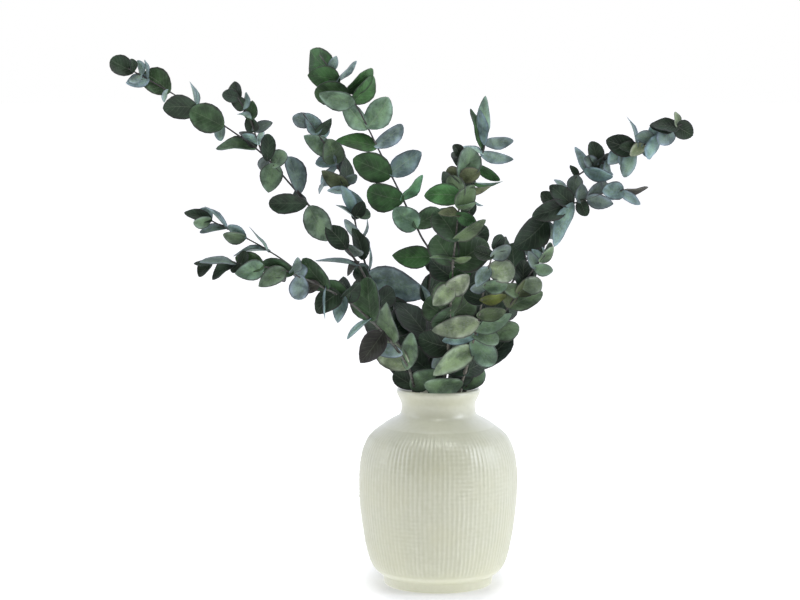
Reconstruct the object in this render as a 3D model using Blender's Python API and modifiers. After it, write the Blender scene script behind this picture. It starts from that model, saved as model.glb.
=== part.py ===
"""Preserved eucalyptus branches standing in a stoneware vase.

Metres, +Z up.  The origin is the centre of the vase's foot on the table, and -Y is the side
that the bunch shows to the room.
"""
import math

import bmesh
import bpy
from mathutils import Matrix, Vector
from mathutils.bvhtree import BVHTree

MM = 0.001

# Vase, turned: (radius, height) down the outer side, from the lip to the foot.
VASE_STEPS = 32
VASE_WALL = 5 * MM
VASE_FLOOR = 8 * MM
VASE_OUTSIDE = (
    (40, 198), (42, 196), (41, 191.5), (37.5, 184), (37, 178), (39, 171), (49, 165), (64.5, 154),
    (72, 145), (77.5, 130), (79.5, 110), (79, 85), (76.5, 60), (73, 40), (68.5, 23), (63, 14),
    (55.5, 9), (54.5, 0))
VASE_INSIDE_TOP = 193

# Stems, inside the vase and out of it.
STEM_FOOT_RADIUS = 47 * MM
STEM_FOOT_CLEARANCE = 2.2 * MM
STEM_STEP = 24 * MM
STEM_THICK = 2.0 * MM
STEM_THIN = 0.75 * MM
TWIG_THICK = 1.1 * MM

# Leaves.
LEAF_THICKNESS = 0.8 * MM
LEAF_POINTS = 8
JOINED_LEAF_POINTS = 6
LEAF_GAP = 0.3 * MM
LEAF_STAND_OFF = 0.9 * MM
LEAF_WIDEST = 0.47
OWN_NODE_LENGTH = 35
SMALLEST_LENGTH = 18

# Where each stem stands on the vase's floor, in degrees round from +X.
STEM_FEET = {"centre": 30, "centre_right": 75, "right": 110, "far_right": 135, "centre_left": 155,
             "centre_back": 178, "left_centre": 240, "far_left": 275, "lower_left": 320}

# Each stem's line from the mouth of the vase outwards, in mm.
ROUTES = {
    "centre": ((4, -20, 200), (8, -32, 225), (10, -46, 257), (11, -58, 292), (13, -67, 330),
               (18, -70, 379), (20, -68, 400), (22, -62, 424), (20, -58, 435)),
    "centre_right": ((21, -14, 200), (28, -26, 224), (34, -40, 251), (39, -52, 277),
                     (43, -62, 303), (48, -70, 328), (54, -74, 347)),
    "lower_left": ((-24, -14, 200), (-31, -24, 223), (-50, -42, 253), (-69, -56, 274),
                   (-90, -68, 293), (-120, -81, 311), (-134, -85, 317), (-149, -88, 324),
                   (-194, -90, 331), (-229, -84, 330)),
    "lower_left_twig": ((-134, -85, 317), (-144, -80, 328), (-166, -70, 342), (-189, -62, 354),
                        (-223, -52, 370), (-241, -48, 379)),
    "right": ((27, 0, 198), (42, -4, 231), (59, -8, 265), (78, -12, 293), (92, -14, 316),
              (105, -16, 333)),
    "centre_left": ((-8, 8, 196), (-10, 16, 234), (-11, 26, 280), (-7, 34, 326), (-18, 38, 349),
                    (-35, 40, 384), (-59, 38, 433), (-81, 34, 477), (-94, 32, 495),
                    (-119, 32, 530)),
    "far_left": ((-25, 8, 196), (-50, 22, 254), (-82, 40, 320), (-118, 52, 362), (-146, 58, 394),
                 (-179, 60, 430), (-219, 54, 460), (-269, 42, 492), (-311, 30, 517)),
    "far_left_twig": ((-179, 60, 430), (-185, 52, 449), (-190, 46, 465), (-198, 42, 480),
                      (-207, 40, 495)),
    "left_centre": ((-20, 17, 196), (-26, 32, 216), (-44, 50, 245), (-59, 70, 279),
                    (-74, 85, 314), (-84, 97, 352), (-93, 104, 391), (-114, 106, 434),
                    (-139, 100, 470)),
    "far_right": ((20, 10, 196), (32, 22, 231), (56, 34, 271), (79, 42, 305), (99, 48, 338),
                  (117, 50, 375), (132, 50, 396), (147, 48, 412), (174, 44, 424),
                  (204, 38, 438), (244, 26, 461)),
    "far_right_twig": ((117, 50, 375), (136, 44, 380), (154, 38, 386), (169, 32, 392),
                       (187, 26, 394)),
    "centre_back": ((10, 22, 196), (18, 44, 241), (24, 64, 290), (30, 82, 340), (35, 94, 381),
                    (42, 102, 417), (49, 106, 434), (49, 108, 458)),
}

# Leaves of each stem, from the mouth outwards: how far along it the pair sits in mm, then for
# each leaf its heading in the front plane (0 right, 90 up), its lean towards the front and its
# roll (0 shows the upper side to the front, 180 the underside) in degrees, its length and
# width in mm, and its tint.
LEAVES = {
    "centre_right": (
        (5, (180, 16, 0, 37, 24, "sage"), (60, -14, 20, 24, 16, "dark")),
        (20, (150, -25, 10, 28, 22, "dark"), (20, -22, 10, 26, 20, "dark")),
        (48, (212, 26, 0, 45, 23, "pale"), (70, -24, 10, 26, 22, "dark")),
        (55, (316, 14, 0, 29, 25, "sage"), (150, -30, 10, 24, 20, "dark")),
        (65, (348, 6, 5, 24, 20, "sage"), (188, 14, 30, 34, 14, "blue")),
        (72, (22, 10, 5, 35, 18, "sage"), (130, -25, 10, 28, 22, "dark")),
        (79, (188, 20, 0, 44, 23, "pale"), (100, -24, 0, 24, 20, "dark")),
        (88, (8, 0, 10, 26, 16, "moss")),
        (105, (10, 20, 15, 24, 12, "yellow"), (165, -10, 20, 18, 16, "dark")),
        (120, (2, 18, 0, 22, 15, "sage"), (196, 14, 0, 14, 12, "grey")),
        (138, (352, 18, 0, 26, 24, "pale"), (232, 10, 10, 20, 15, "blue")),
        (152, (25, 2, 20, 20, 16, "grey"), (160, 8, 10, 18, 14, "dark")),
        (160, (65, 5, 25, 15, 13, "dark"), (30, -12, 15, 20, 13, "dark"))),
    "lower_left": (
        (2, (36, 24, 0, 29, 22, "sage"), (150, -10, 10, 24, 18, "dark")),
        (27, (138, 4, 0, 36, 28, "pale"), (84, 10, 0, 34, 18, "sage")),
        (45, (165, 28, 25, 31, 15, "blue")),
        (62, (108, 18, 0, 37, 29, "sage")),
        (75, (232, -10, 10, 35, 25, "umber")),
        (97, (212, 20, 78, 29, 13, "blue"), (98, 10, 0, 39, 34, "green")),
        (130, (145, 0, 5, 28, 22, "green"), (100, -16, 15, 24, 18, "dark")),
        (133, (254, 14, 8, 24, 15, "blue"), (40, -15, 20, 22, 18, "dark")),
        (141, (219, 4, 10, 26, 23, "dark")),
        (154, (132, 5, 8, 35, 27, "green"), (266, 24, 76, 31, 11, "blue")),
        (164, (200, -4, 10, 17, 13, "brown")),
        (182, (268, 14, 0, 21, 20, "blue"), (98, 14, 0, 13, 16, "blue")),
        (192, (58, 15, 40, 20, 12, "grey"), (165, -5, 10, 30, 19, "green")),
        (200, (212, 12, 8, 28, 18, "sage"), (238, -22, 10, 20, 16, "dark")),
        (221, (162, -4, 10, 27, 19, "green"), (204, 12, 0, 26, 20, "sage")),
        (241, (72, 0, 20, 13, 10, "dark"), (235, 5, 20, 12, 9, "dark")),
        (248, (168, 10, 72, 32, 14, "grey"), (212, 0, 20, 26, 14, "dark")),
        (272, (178, 0, 45, 15, 9, "dark"), (222, 10, 0, 16, 15, "dark"))),
    "lower_left_twig": (
        (44, (122, 5, 80, 29, 14, "grey"), (178, 5, 80, 33, 15, "grey")),
        (71, (140, 10, 155, 20, 12, "blue"), (174, 10, 10, 21, 14, "sage")),
        (92, (127, 0, 82, 30, 13, "grey"), (185, 0, 62, 26, 12, "grey")),
        (110, (160, 5, 35, 26, 13, "dark"), (186, 8, -20, 21, 13, "sage"),
         (128, -15, 150, 15, 11, "blue"))),
    "centre": (
        (2, (120, -20, 0, 24, 22, "dark")),
        (22, (75, -32, -10, 34, 30, "dark")),
        (38, (215, -8, 5, 20, 16, "grey"), (15, -22, 150, 28, 20, "olive")),
        (50, (165, -16, 5, 32, 28, "dark"), (110, -22, -8, 34, 30, "dark")),
        (83, (150, -14, 10, 30, 28, "green"), (40, -20, -8, 32, 28, "moss")),
        (90, (98, -6, -5, 30, 32, "moss"), (225, -12, 10, 24, 22, "green")),
        (112, (42, 24, 0, 23, 20, "pale"), (220, 22, 0, 24, 20, "pale")),
        (125, (142, -12, 5, 28, 23, "dark"), (24, -5, 5, 24, 17, "vivid")),
        (139, (34, -8, 0, 38, 38, "green"), (127, -8, 5, 32, 32, "green")),
        (143, (171, 18, 70, 24, 10, "moss"), (3, 16, 70, 18, 9, "moss")),
        (163, (28, 16, 42, 34, 16, "moss"), (124, 2, 5, 32, 31, "green")),
        (186, (168, 24, 50, 20, 12, "olive"), (330, 0, 10, 20, 14, "bright")),
        (194, (55, 12, 15, 25, 20, "moss"), (5, 24, 50, 17, 12, "moss")),
        (204, (178, 8, 0, 34, 22, "bright"), (120, 2, 10, 22, 20, "moss")),
        (210, (0, 16, 62, 30, 13, "olive"), (140, -6, 15, 26, 16, "dark")),
        (222, (160, 18, 0, 18, 16, "olive"), (16, 16, 0, 18, 16, "olive"),
         (72, -8, 10, 31, 24, "sage")),
        (233, (118, -25, 20, 20, 15, "dark"), (50, -15, 10, 20, 14, "dark")),
        (243, (120, 10, 20, 14, 12, "dark"))),
    "right": (
        (2, (46, 18, 0, 25, 18, "sage"), (130, -15, 10, 22, 18, "dark")),
        (25, (42, -8, 10, 46, 29, "dark"), (150, -20, 0, 30, 24, "dark")),
        (62, (12, 4, 10, 28, 22, "moss"), (80, -20, 10, 35, 30, "dark")),
        (96, (25, -8, 10, 35, 24, "moss"), (100, 16, 30, 26, 18, "olive")),
        (110, (40, 6, 10, 24, 18, "olive"), (150, 16, 20, 20, 15, "moss")),
        (119, (14, 15, 5, 22, 19, "pale"), (85, -8, 10, 26, 20, "dark")),
        (142, (345, 5, 20, 18, 14, "sage"), (110, 10, 30, 17, 13, "grey")),
        (150, (42, 5, 35, 19, 12, "sage"), (118, 0, 150, 15, 10, "blue")),
        (156, (52, 0, 50, 15, 10, "dark"), (75, 10, 20, 10, 8, "blue"))),
    "centre_left": (
        (20, (142, 5, 10, 35, 26, "dark"), (40, -10, 10, 35, 30, "dark")),
        (55, (128, -28, 5, 50, 36, "dark"), (52, -20, 5, 42, 34, "dark")),
        (90, (112, 10, 140, 20, 12, "blue"), (70, -20, 10, 30, 26, "dark")),
        (135, (180, 0, 6, 37, 24, "vivid"), (300, -14, 15, 35, 26, "dark")),
        (170, (146, 12, 0, 27, 26, "mint"), (28, -5, 0, 30, 21, "green")),
        (200, (168, 8, 0, 35, 33, "vivid"), (46, 0, 38, 31, 16, "fresh")),
        (228, (159, 5, 0, 39, 32, "vivid"), (34, 0, 162, 36, 25, "blue")),
        (260, (167, 10, 22, 39, 20, "vivid"), (34, -5, 152, 33, 20, "blue")),
        (281, (132, -2, 168, 36, 21, "mint"), (54, 5, 172, 35, 28, "mint")),
        (310, (166, 26, 12, 37, 21, "sage"), (45, -8, 15, 33, 22, "bright")),
        (322, (182, 12, 10, 32, 26, "green"), (36, 5, 0, 35, 20, "bright")),
        (336, (172, 1, 8, 31, 26, "vivid"), (42, 0, 66, 27, 12, "blue")),
        (349, (140, -16, -10, 37, 31, "vivid"), (65, 10, 150, 16, 10, "blue"))),
    "far_left": (
        (14, (132, 0, 20, 34, 24, "dark"), (75, -15, 10, 34, 30, "dark")),
        (60, (138, -14, 5, 35, 28, "dark"), (50, -14, 5, 35, 30, "dark")),
        (92, (150, -35, 5, 28, 22, "dark"), (40, -40, 5, 28, 22, "dark")),
        (118, (232, -14, 5, 30, 24, "green"), (130, -25, 5, 20, 16, "dark")),
        (140, (168, 10, 76, 41, 18, "grey"), (225, 5, 20, 16, 12, "brown")),
        (162, (132, 8, 0, 27, 22, "dark"), (330, -20, 30, 22, 14, "grey")),
        (214, (302, 18, 0, 38, 28, "sage")),
        (223, (181, 4, -18, 36, 22, "dark")),
        (236, (106, -8, 5, 37, 23, "grey"), (300, -20, 30, 18, 14, "grey")),
        (272, (259, 8, 0, 28, 24, "sage"), (56, 4, 5, 18, 20, "sage")),
        (282, (88, 5, 5, 25, 16, "dark"), (240, -25, 20, 18, 14, "grey")),
        (300, (173, 8, 22, 37, 21, "sage"), (128, -15, 10, 22, 18, "dark")),
        (340, (153, 10, 0, 35, 30, "green"), (262, -5, 140, 17, 12, "blue")),
        (372, (183, 8, -8, 33, 28, "dark"), (97, -5, 80, 27, 14, "blue")),
        (404, (143, 10, 0, 30, 27, "green"), (245, 5, 140, 13, 9, "blue")),
        (428, (190, 10, 150, 22, 15, "blue"), (93, 0, 80, 20, 10, "grey")),
        (436, (88, -5, 140, 15, 10, "blue"), (205, -5, 150, 14, 10, "blue")),
        (445, (152, 0, 8, 25, 21, "dark"), (100, -15, 30, 12, 9, "dark"))),
    "far_left_twig": (
        (13, (145, 5, 145, 18, 10, "blue"), (72, 5, 60, 16, 9, "blue")),
        (28, (112, 14, 0, 15, 14, "dark"), (28, 0, 15, 20, 12, "grey")),
        (41, (82, 5, 0, 18, 15, "green"), (150, -8, 150, 14, 10, "blue")),
        (54, (138, 12, 5, 16, 14, "dark"), (72, 0, 155, 16, 11, "blue")),
        (65, (104, 0, 5, 19, 15, "dark"), (165, 8, 5, 18, 14, "dark"))),
    "left_centre": (
        (34, (40, -20, 10, 28, 24, "dark")),
        (68, (320, -4, 10, 35, 28, "dark"), (195, -22, 10, 32, 28, "dark")),
        (104, (318, -14, 5, 42, 34, "dark")),
        (135, (337, 10, 0, 62, 38, "blue"), (150, -6, 30, 20, 14, "grey")),
        (140, (82, -5, 78, 28, 11, "grey"), (190, -5, 20, 14, 10, "brown")),
        (157, (107, 10, 15, 31, 17, "dark"), (82, -20, 80, 22, 14, "blue")),
        (172, (118, 6, 145, 30, 13, "blue"), (64, 0, 70, 26, 11, "grey")),
        (200, (58, 8, 5, 19, 14, "dark"), (139, 5, 70, 23, 13, "grey")),
        (206, (344, -8, 10, 19, 13, "sage"), (125, 5, 160, 30, 15, "blue")),
        (228, (311, 0, 52, 26, 12, "blue"), (172, 10, 150, 22, 12, "blue")),
        (235, (152, 14, 5, 29, 18, "olive"), (88, -10, 25, 30, 18, "dark")),
        (240, (189, -6, 150, 22, 13, "blue"), (20, -10, 30, 16, 12, "grey")),
        (255, (231, -8, 60, 42, 17, "grey"), (70, -20, 30, 22, 16, "grey")),
        (262, (103, 15, 0, 24, 24, "moss"), (183, -5, 155, 20, 18, "blue")),
        (272, (145, 8, 15, 32, 20, "sage"), (35, -8, 45, 18, 11, "grey")),
        (288, (62, -14, 130, 19, 9, "blue")),
        (297, (114, 10, 10, 23, 18, "blue"), (40, 4, 20, 21, 13, "dark")),
        (308, (156, 8, 5, 21, 18, "blue"), (48, -10, 76, 14, 7, "grey"))),
    "far_right": (
        (42, (115, -15, 5, 34, 30, "dark"), (30, -20, 5, 34, 30, "dark")),
        (87, (110, -10, 5, 34, 30, "dark"), (20, -20, 5, 34, 30, "dark")),
        (130, (95, 0, 10, 34, 26, "dark"), (30, -20, 10, 28, 24, "dark")),
        (158, (130, 4, 20, 22, 14, "grey"), (40, -15, 20, 20, 14, "dark")),
        (193, (220, 8, 0, 41, 32, "dark"), (300, -10, 20, 22, 16, "grey")),
        (213, (135, -8, 12, 19, 15, "dark"), (330, -20, 20, 14, 10, "grey")),
        (232, (128, -20, 40, 17, 9, "blue"), (340, -10, 20, 18, 13, "grey")),
        (249, (256, 4, 15, 20, 17, "grey"), (112, -10, 40, 14, 9, "dark")),
        (261, (112, -8, 150, 26, 12, "blue"), (344, 10, 20, 28, 16, "blue")),
        (273, (102, 8, 8, 25, 17, "dark"), (40, 5, 5, 18, 16, "dark"),
         (140, 14, 5, 17, 14, "grey")),
        (284, (283, 5, 150, 18, 9, "blue"), (225, -5, 150, 14, 10, "blue")),
        (300, (200, 8, 165, 18, 17, "blue"), (285, 8, 160, 15, 13, "blue")),
        (314, (160, 8, 5, 30, 23, "dark"), (247, 12, 170, 31, 16, "blue")),
        (317, (96, -5, 78, 33, 14, "blue"), (172, 20, 10, 19, 13, "dark")),
        (324, (216, 20, 10, 18, 13, "pale"), (300, 5, 150, 14, 10, "blue")),
        (336, (165, -8, 150, 20, 15, "grey"), (96, 6, 150, 14, 11, "blue")),
        (343, (240, 8, 160, 26, 16, "blue"), (20, -8, 160, 18, 14, "blue")),
        (356, (226, 14, 160, 19, 20, "blue"), (164, 4, 15, 22, 15, "dark")),
        (364, (172, 2, 20, 28, 18, "dark"), (330, 0, 0, 18, 20, "dark"),
         (98, 5, 30, 15, 10, "pale"))),
    "far_right_twig": (
        (14, (197, 8, 0, 36, 22, "dark"), (72, -10, 20, 14, 10, "grey")),
        (20, (139, 6, 10, 29, 19, "dark"), (234, 12, 158, 47, 18, "blue")),
        (30, (292, 8, 5, 16, 14, "dark"), (85, -4, 20, 18, 15, "grey")),
        (39, (345, 12, 20, 25, 17, "grey"), (44, 0, 15, 25, 14, "grey")),
        (60, (320, 10, 150, 12, 10, "blue"), (110, -10, 20, 12, 10, "grey")),
        (77, (180, 10, 5, 20, 19, "blue"), (1, 0, 60, 27, 13, "brown"),
         (318, 5, 38, 23, 12, "blue"))),
    "centre_back": (
        (55, (50, -15, 10, 34, 30, "dark"), (130, -15, 10, 34, 30, "dark")),
        (104, (25, -10, 10, 34, 30, "dark"), (155, -10, 10, 34, 30, "dark")),
        (152, (40, -10, 10, 30, 26, "dark"), (140, -10, 10, 30, 26, "dark")),
        (184, (95, -12, 10, 24, 18, "dark")),
        (202, (318, -5, 78, 18, 9, "blue"), (150, -10, 20, 20, 16, "dark")),
        (219, (353, 0, 66, 30, 14, "vivid"), (170, -10, 20, 24, 18, "dark")),
        (237, (324, 5, 38, 28, 14, "vivid"), (155, -5, 10, 20, 15, "dark")),
        (251, (158, 8, 58, 26, 12, "blue"), (346, 5, 150, 33, 14, "blue")),
        (257, (103, -4, 22, 44, 15, "vivid")),
        (263, (94, 12, 148, 36, 13, "blue"), (2, 0, 158, 30, 14, "blue")),
        (272, (93, -12, 165, 39, 17, "mint"))),
}

TINTS = {
    "dark": (0.045, 0.075, 0.055), "green": (0.06, 0.12, 0.07), "vivid": (0.05, 0.14, 0.065),
    "fresh": (0.13, 0.25, 0.13), "sage": (0.19, 0.27, 0.18), "pale": (0.30, 0.38, 0.30),
    "blue": (0.20, 0.29, 0.29), "grey": (0.11, 0.15, 0.14), "olive": (0.13, 0.16, 0.08),
    "yellow": (0.28, 0.28, 0.12), "brown": (0.12, 0.10, 0.09), "umber": (0.05, 0.035, 0.03),
    "moss": (0.13, 0.17, 0.11), "bright": (0.07, 0.17, 0.07), "mint": (0.19, 0.33, 0.23)}


# --- working in a scene ---------------------------------------------------------------------

def empty_scene():
    for thing in list(bpy.data.objects):
        bpy.data.objects.remove(thing)


def new_collection(name):
    collection = bpy.data.collections.new(name)
    bpy.context.scene.collection.children.link(collection)
    return collection


def new_material(name, colour, roughness, metallic=0.0):
    material = bpy.data.materials.new(name)
    material.use_nodes = True
    shader = material.node_tree.nodes["Principled BSDF"]
    shader.inputs["Base Color"].default_value = (*colour, 1)
    shader.inputs["Roughness"].default_value = roughness
    shader.inputs["Metallic"].default_value = metallic
    return material


def new_object(name, data, collection, material=None):
    thing = bpy.data.objects.new(name, data)
    collection.objects.link(thing)
    if material:
        data.materials.append(material)
    return thing


def make_guide(thing):
    """Mark a shape that only serves another one, and is not a piece itself."""
    thing.hide_render = True
    thing.display_type = "WIRE"


# --- lines ----------------------------------------------------------------------------------

def smooth_line(points, per_span=8):
    """Catmull-Rom curve through the points, as a list of close points."""
    ends = [points[0] * 2 - points[1], *points, points[-1] * 2 - points[-2]]
    line = []
    for a, b, c, d in zip(ends, ends[1:], ends[2:], ends[3:]):
        for k in range(per_span):
            t = k / per_span
            line.append(0.5 * (2 * b + (c - a) * t + (2 * a - 5 * b + 4 * c - d) * t * t
                               + (3 * b - 3 * c + d - a) * t ** 3))
    line.append(points[-1])
    return line


def point_along(line, distance):
    """The point and the direction at a distance along a line of close points."""
    left = distance
    for a, b in zip(line, line[1:]):
        span = (b - a).length
        if left <= span:
            break
        left -= span
    return a + (b - a) * min(left / span, 1), (b - a).normalized()


def line_length(line):
    return sum((b - a).length for a, b in zip(line, line[1:]))


def outer_line(name):
    """The part of a stem or twig that is out of the vase."""
    return smooth_line([Vector(p) * MM for p in ROUTES[name]])


def inner_line(name):
    """A stem's lower part: it crosses the vase in a spiral and stands on the floor."""
    mouth = Vector(ROUTES[name][0]) * MM
    angle = math.radians(STEM_FEET[name])
    foot = Vector((STEM_FOOT_RADIUS * math.cos(angle), STEM_FOOT_RADIUS * math.sin(angle),
                   VASE_FLOOR + STEM_FOOT_CLEARANCE))
    return [foot.lerp(mouth, t) for t in (0, 0.3, 0.6, 0.85)]


def stem_radius(name, distance):
    """A stem tapers from the mouth to its tip."""
    thick = TWIG_THICK if name.endswith("twig") else STEM_THICK
    share = min(max(distance / line_length(outer_line(name)), 0), 1)
    return thick + (STEM_THIN - thick) * share ** 0.8


# --- leaves ---------------------------------------------------------------------------------

def leaf_outline(length, width, corners):
    """Points round an ovate leaf from its tip: centre first, length along X, cupped in Z."""
    def bend(x, y):
        return 0.5 * y * y / max(width, length * 0.4) - 0.14 * x * x / length

    points = [Vector((LEAF_WIDEST * length, 0, bend(LEAF_WIDEST * length, 0)))]
    for k in range(corners):
        turn = 2 * math.pi * k / corners
        x = length * (0.5 + 0.5 * math.cos(turn))
        x += length * (LEAF_WIDEST - 0.5) * math.sin(turn) ** 2
        y = 0.52 * width * math.sin(turn)
        points.append(Vector((x, y, bend(x, y))))
    return points


def leaf_solid(length, width, thickness, corners=LEAF_POINTS):
    """Corner points and faces of a closed leaf."""
    sheet = leaf_outline(length, width, corners)
    count = len(sheet)
    half = Vector((0, 0, thickness / 2))
    points = [p + half for p in sheet] + [p - half for p in sheet]
    faces = []
    for k in range(1, count):
        after = k % corners + 1
        faces.append((0, k, after))
        faces.append((count, count + after, count + k))
        faces.append((k, count + k, count + after, after))
    return points, faces


def leaf_axes(heading, lean, roll):
    """Rotation that lays a leaf's length on its direction and its upper side on its face."""
    heading, lean = math.radians(heading), math.radians(lean)
    along = Vector((math.cos(heading) * math.cos(lean), -math.sin(lean),
                    math.sin(heading) * math.cos(lean)))
    face = Vector((0, -1, 0))
    face = (face - along * face.dot(along)).normalized()
    face = Matrix.Rotation(math.radians(roll), 3, along) @ face
    return Matrix((along, face.cross(along), face)).transposed()


def leaf_place(stem, distance, leaf, joined):
    """Where a leaf stands: joined ones start in the stem's wood, the others just off it."""
    heading, lean, roll = leaf[:3]
    axes = leaf_axes(heading, lean, roll)
    point, tangent = point_along(outer_line(stem), distance * MM)
    away = axes.col[0] - tangent * axes.col[0].dot(tangent)
    radius = stem_radius(stem, distance * MM)
    gap = 0.2 * radius if joined else radius + LEAF_STAND_OFF
    return Matrix.Translation(point + away.normalized() * gap) @ axes.to_4x4()


def nudges():
    """Small changes of heading, lean, roll and size, the smallest change first."""
    tries = [(heading, lean, roll, size)
             for heading in (0, 8, -8, 16, -16, 26, -26)
             for lean in (0, 8, -8, 16, -16, 26, -26, 38, -38)
             for roll in (0, 18, -18, 36, -36)
             for size in (1, 0.92, 0.82, 0.7)]
    return sorted(tries, key=lambda t: abs(t[0]) / 7 + abs(t[1]) / 9 + abs(t[2]) / 22
                  + (1 - t[3]) * 20)


def leaf_tree(place, length, width, start=0):
    """A leaf as a search tree, a little larger than the leaf, from a share of its length on."""
    points, faces = leaf_solid(length * (1.02 - start), width * 1.04,
                               LEAF_THICKNESS + 2 * LEAF_GAP)
    shift = Vector((length * start, 0, 0))
    return BVHTree.FromPolygons([place @ (p + shift) for p in points], faces)


def settle_leaves(obstacles):
    """Lay every leaf in turn, nudged until it is clear of the stems and earlier leaves.

    Gives a list of (stem, place matrix, length, width, tint, joined).
    """
    laid = []
    tries = nudges()
    for stem, pairs in LEAVES.items():
        for distance, *leaves in pairs:
            for leaf in leaves:
                found = settle_leaf(stem, distance, leaf, tries, obstacles)
                if found:
                    laid.append(found)
    return laid


def settle_leaf(stem, distance, leaf, tries, obstacles):
    heading, lean, roll, length, width, tint = leaf
    joined = length < OWN_NODE_LENGTH
    bunch = stem.replace("_twig", "")
    for turn, tip, spin, size in tries:
        place = leaf_place(stem, distance, (heading + turn, lean + tip, roll + spin), joined)
        long, wide = length * size * MM, width * size * MM
        centre = place @ Vector((long / 2, 0, 0))
        near = [o for o in obstacles if (o["middle"] - centre).length < o["reach"] + long]
        whole, outer = leaf_tree(place, long, wide), leaf_tree(place, long, wide, 0.15)
        if not any(leaf_hits(whole, outer, joined, bunch, o) for o in near):
            obstacles.append({"middle": centre, "reach": long, "tree": whole, "outer": outer,
                              "owner": bunch if joined else ""})
            return stem, place, long, wide, tint, joined
    return None


def leaf_hits(whole, outer, joined, bunch, obstacle):
    """Leaves joined to one stem may share its wood, so they are only tested further out."""
    if joined and obstacle["owner"] == bunch:
        return bool(obstacle["outer"] and outer.overlap(obstacle["outer"]))
    return bool(whole.overlap(obstacle["tree"]))


# --- pieces ---------------------------------------------------------------------------------

def vase_profile():
    """Round the wall from the middle of the inner floor, over the lip, to the foot's middle."""
    outside = [Vector((r, h)) * MM for r, h in VASE_OUTSIDE]
    inside = []
    for before, here, after in zip(outside, outside[1:], outside[2:]):
        run = (after - before).normalized()
        point = here + Vector((run.y, -run.x)) * VASE_WALL
        if VASE_FLOOR + VASE_WALL < point.y < VASE_INSIDE_TOP * MM:
            inside.append(point)
    floor_edge = Vector((inside[-1].x - VASE_WALL, VASE_FLOOR))
    return [Vector((0, VASE_FLOOR)), floor_edge, *reversed(inside), *outside, Vector((0, 0))]


def make_vase(collection):
    mesh = bpy.data.meshes.new("vase")
    profile = vase_profile()
    mesh.from_pydata([(p.x, 0, p.y) for p in profile],
                     [(k, k + 1) for k in range(len(profile) - 1)], [])
    vase = new_object("vase", mesh, collection,
                      new_material("cream_glaze", (0.72, 0.71, 0.60), 0.45))
    turn = vase.modifiers.new("turned", "SCREW")
    turn.steps = VASE_STEPS
    turn.render_steps = VASE_STEPS
    turn.use_merge_vertices = True
    turn.merge_threshold = 0.00001
    turn.use_smooth_shade = True
    return vase


def tube_mesh(name, line, radii):
    """A tapering round tube along a line, as a closed mesh."""
    curve = bpy.data.curves.new(name, "CURVE")
    curve.dimensions = "3D"
    curve.bevel_depth = 1
    curve.bevel_resolution = 1
    curve.use_fill_caps = True
    spline = curve.splines.new("POLY")
    spline.points.add(len(line) - 1)
    for point, place, radius in zip(spline.points, line, radii):
        point.co = (*place, 1)
        point.radius = radius
    thing = bpy.data.objects.new(name, curve)
    bpy.context.scene.collection.objects.link(thing)
    shape = thing.evaluated_get(bpy.context.evaluated_depsgraph_get())
    mesh = bpy.data.meshes.new_from_object(shape)
    bpy.data.objects.remove(thing)
    weld(mesh)
    return mesh


def weld(mesh):
    work = bmesh.new()
    work.from_mesh(mesh)
    bmesh.ops.remove_doubles(work, verts=work.verts, dist=0.00002)
    work.to_mesh(mesh)
    work.free()


def stem_mesh(name):
    """The tube of one stem or twig, with a ring of points at each pair of leaves."""
    outer = outer_line(name)
    stops = [0, *(row[0] * MM for row in LEAVES[name]), line_length(outer)]
    distances = [0]
    for before, after in zip(stops, stops[1:]):
        count = math.ceil((after - before) / STEM_STEP)
        distances += [before + (after - before) * (k + 1) / count for k in range(count)]
    line = [point_along(outer, d)[0] for d in distances]
    radii = [stem_radius(name, d) for d in distances]
    if not name.endswith("twig"):
        lower = inner_line(name)
        line = lower + line
        radii = [STEM_THICK] * len(lower) + radii
    return tube_mesh(name, line, radii)


def mesh_obstacle(mesh, owner):
    points = [v.co for v in mesh.vertices]
    middle = sum(points, Vector()) / len(points)
    reach = max((p - middle).length for p in points)
    tree = BVHTree.FromPolygons(points, [tuple(f.vertices) for f in mesh.polygons])
    return {"middle": middle, "reach": reach, "tree": tree, "outer": None, "owner": owner}


def make_leaf(name, place, length, width, corners, collection, material=None):
    mesh = bpy.data.meshes.new(name)
    points, faces = leaf_solid(length, width, LEAF_THICKNESS, corners)
    mesh.from_pydata(points, [], faces)
    mesh.transform(place)
    return new_object(name, mesh, collection, material)


def main():
    empty_scene()
    parts = new_collection("eucalyptus_vase")
    guides = new_collection("joined_shapes")
    vase = make_vase(parts)

    stem_meshes = {name: stem_mesh(name) for name in ROUTES}
    obstacles = [mesh_obstacle(mesh, name.replace("_twig", ""))
                 for name, mesh in stem_meshes.items()]
    shape = vase.evaluated_get(bpy.context.evaluated_depsgraph_get()).to_mesh()
    obstacles.append(mesh_obstacle(shape, "vase"))

    bark = new_material("bark", (0.16, 0.13, 0.09), 0.75)
    leaf_materials = {tint: new_material(tint + "_leaf", colour, 0.6)
                      for tint, colour in TINTS.items()}
    joined = {}
    for name, mesh in stem_meshes.items():
        if name.endswith("twig"):
            make_guide(new_object(name, mesh, joined[name.replace("_twig", "")]))
            continue
        stem = new_object(name + "_stem", mesh, parts, bark)
        joined[name] = bpy.data.collections.new(name + "_joined")
        guides.children.link(joined[name])
        union = stem.modifiers.new("joined", "BOOLEAN")
        union.operation = "UNION"
        union.operand_type = "COLLECTION"
        union.collection = joined[name]

    counts = {}
    for stem, place, length, width, tint, is_joined in settle_leaves(obstacles):
        bunch = stem.replace("_twig", "")
        counts[bunch] = counts.get(bunch, 0) + 1
        name = f"{bunch}_leaf_{counts[bunch]:02d}"
        if not is_joined:
            make_leaf(name, place, length, width, LEAF_POINTS, parts, leaf_materials[tint])
        elif length >= SMALLEST_LENGTH * MM:
            make_guide(make_leaf(name, place, length, width, JOINED_LEAF_POINTS,
                                 joined[bunch]))


main()
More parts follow.
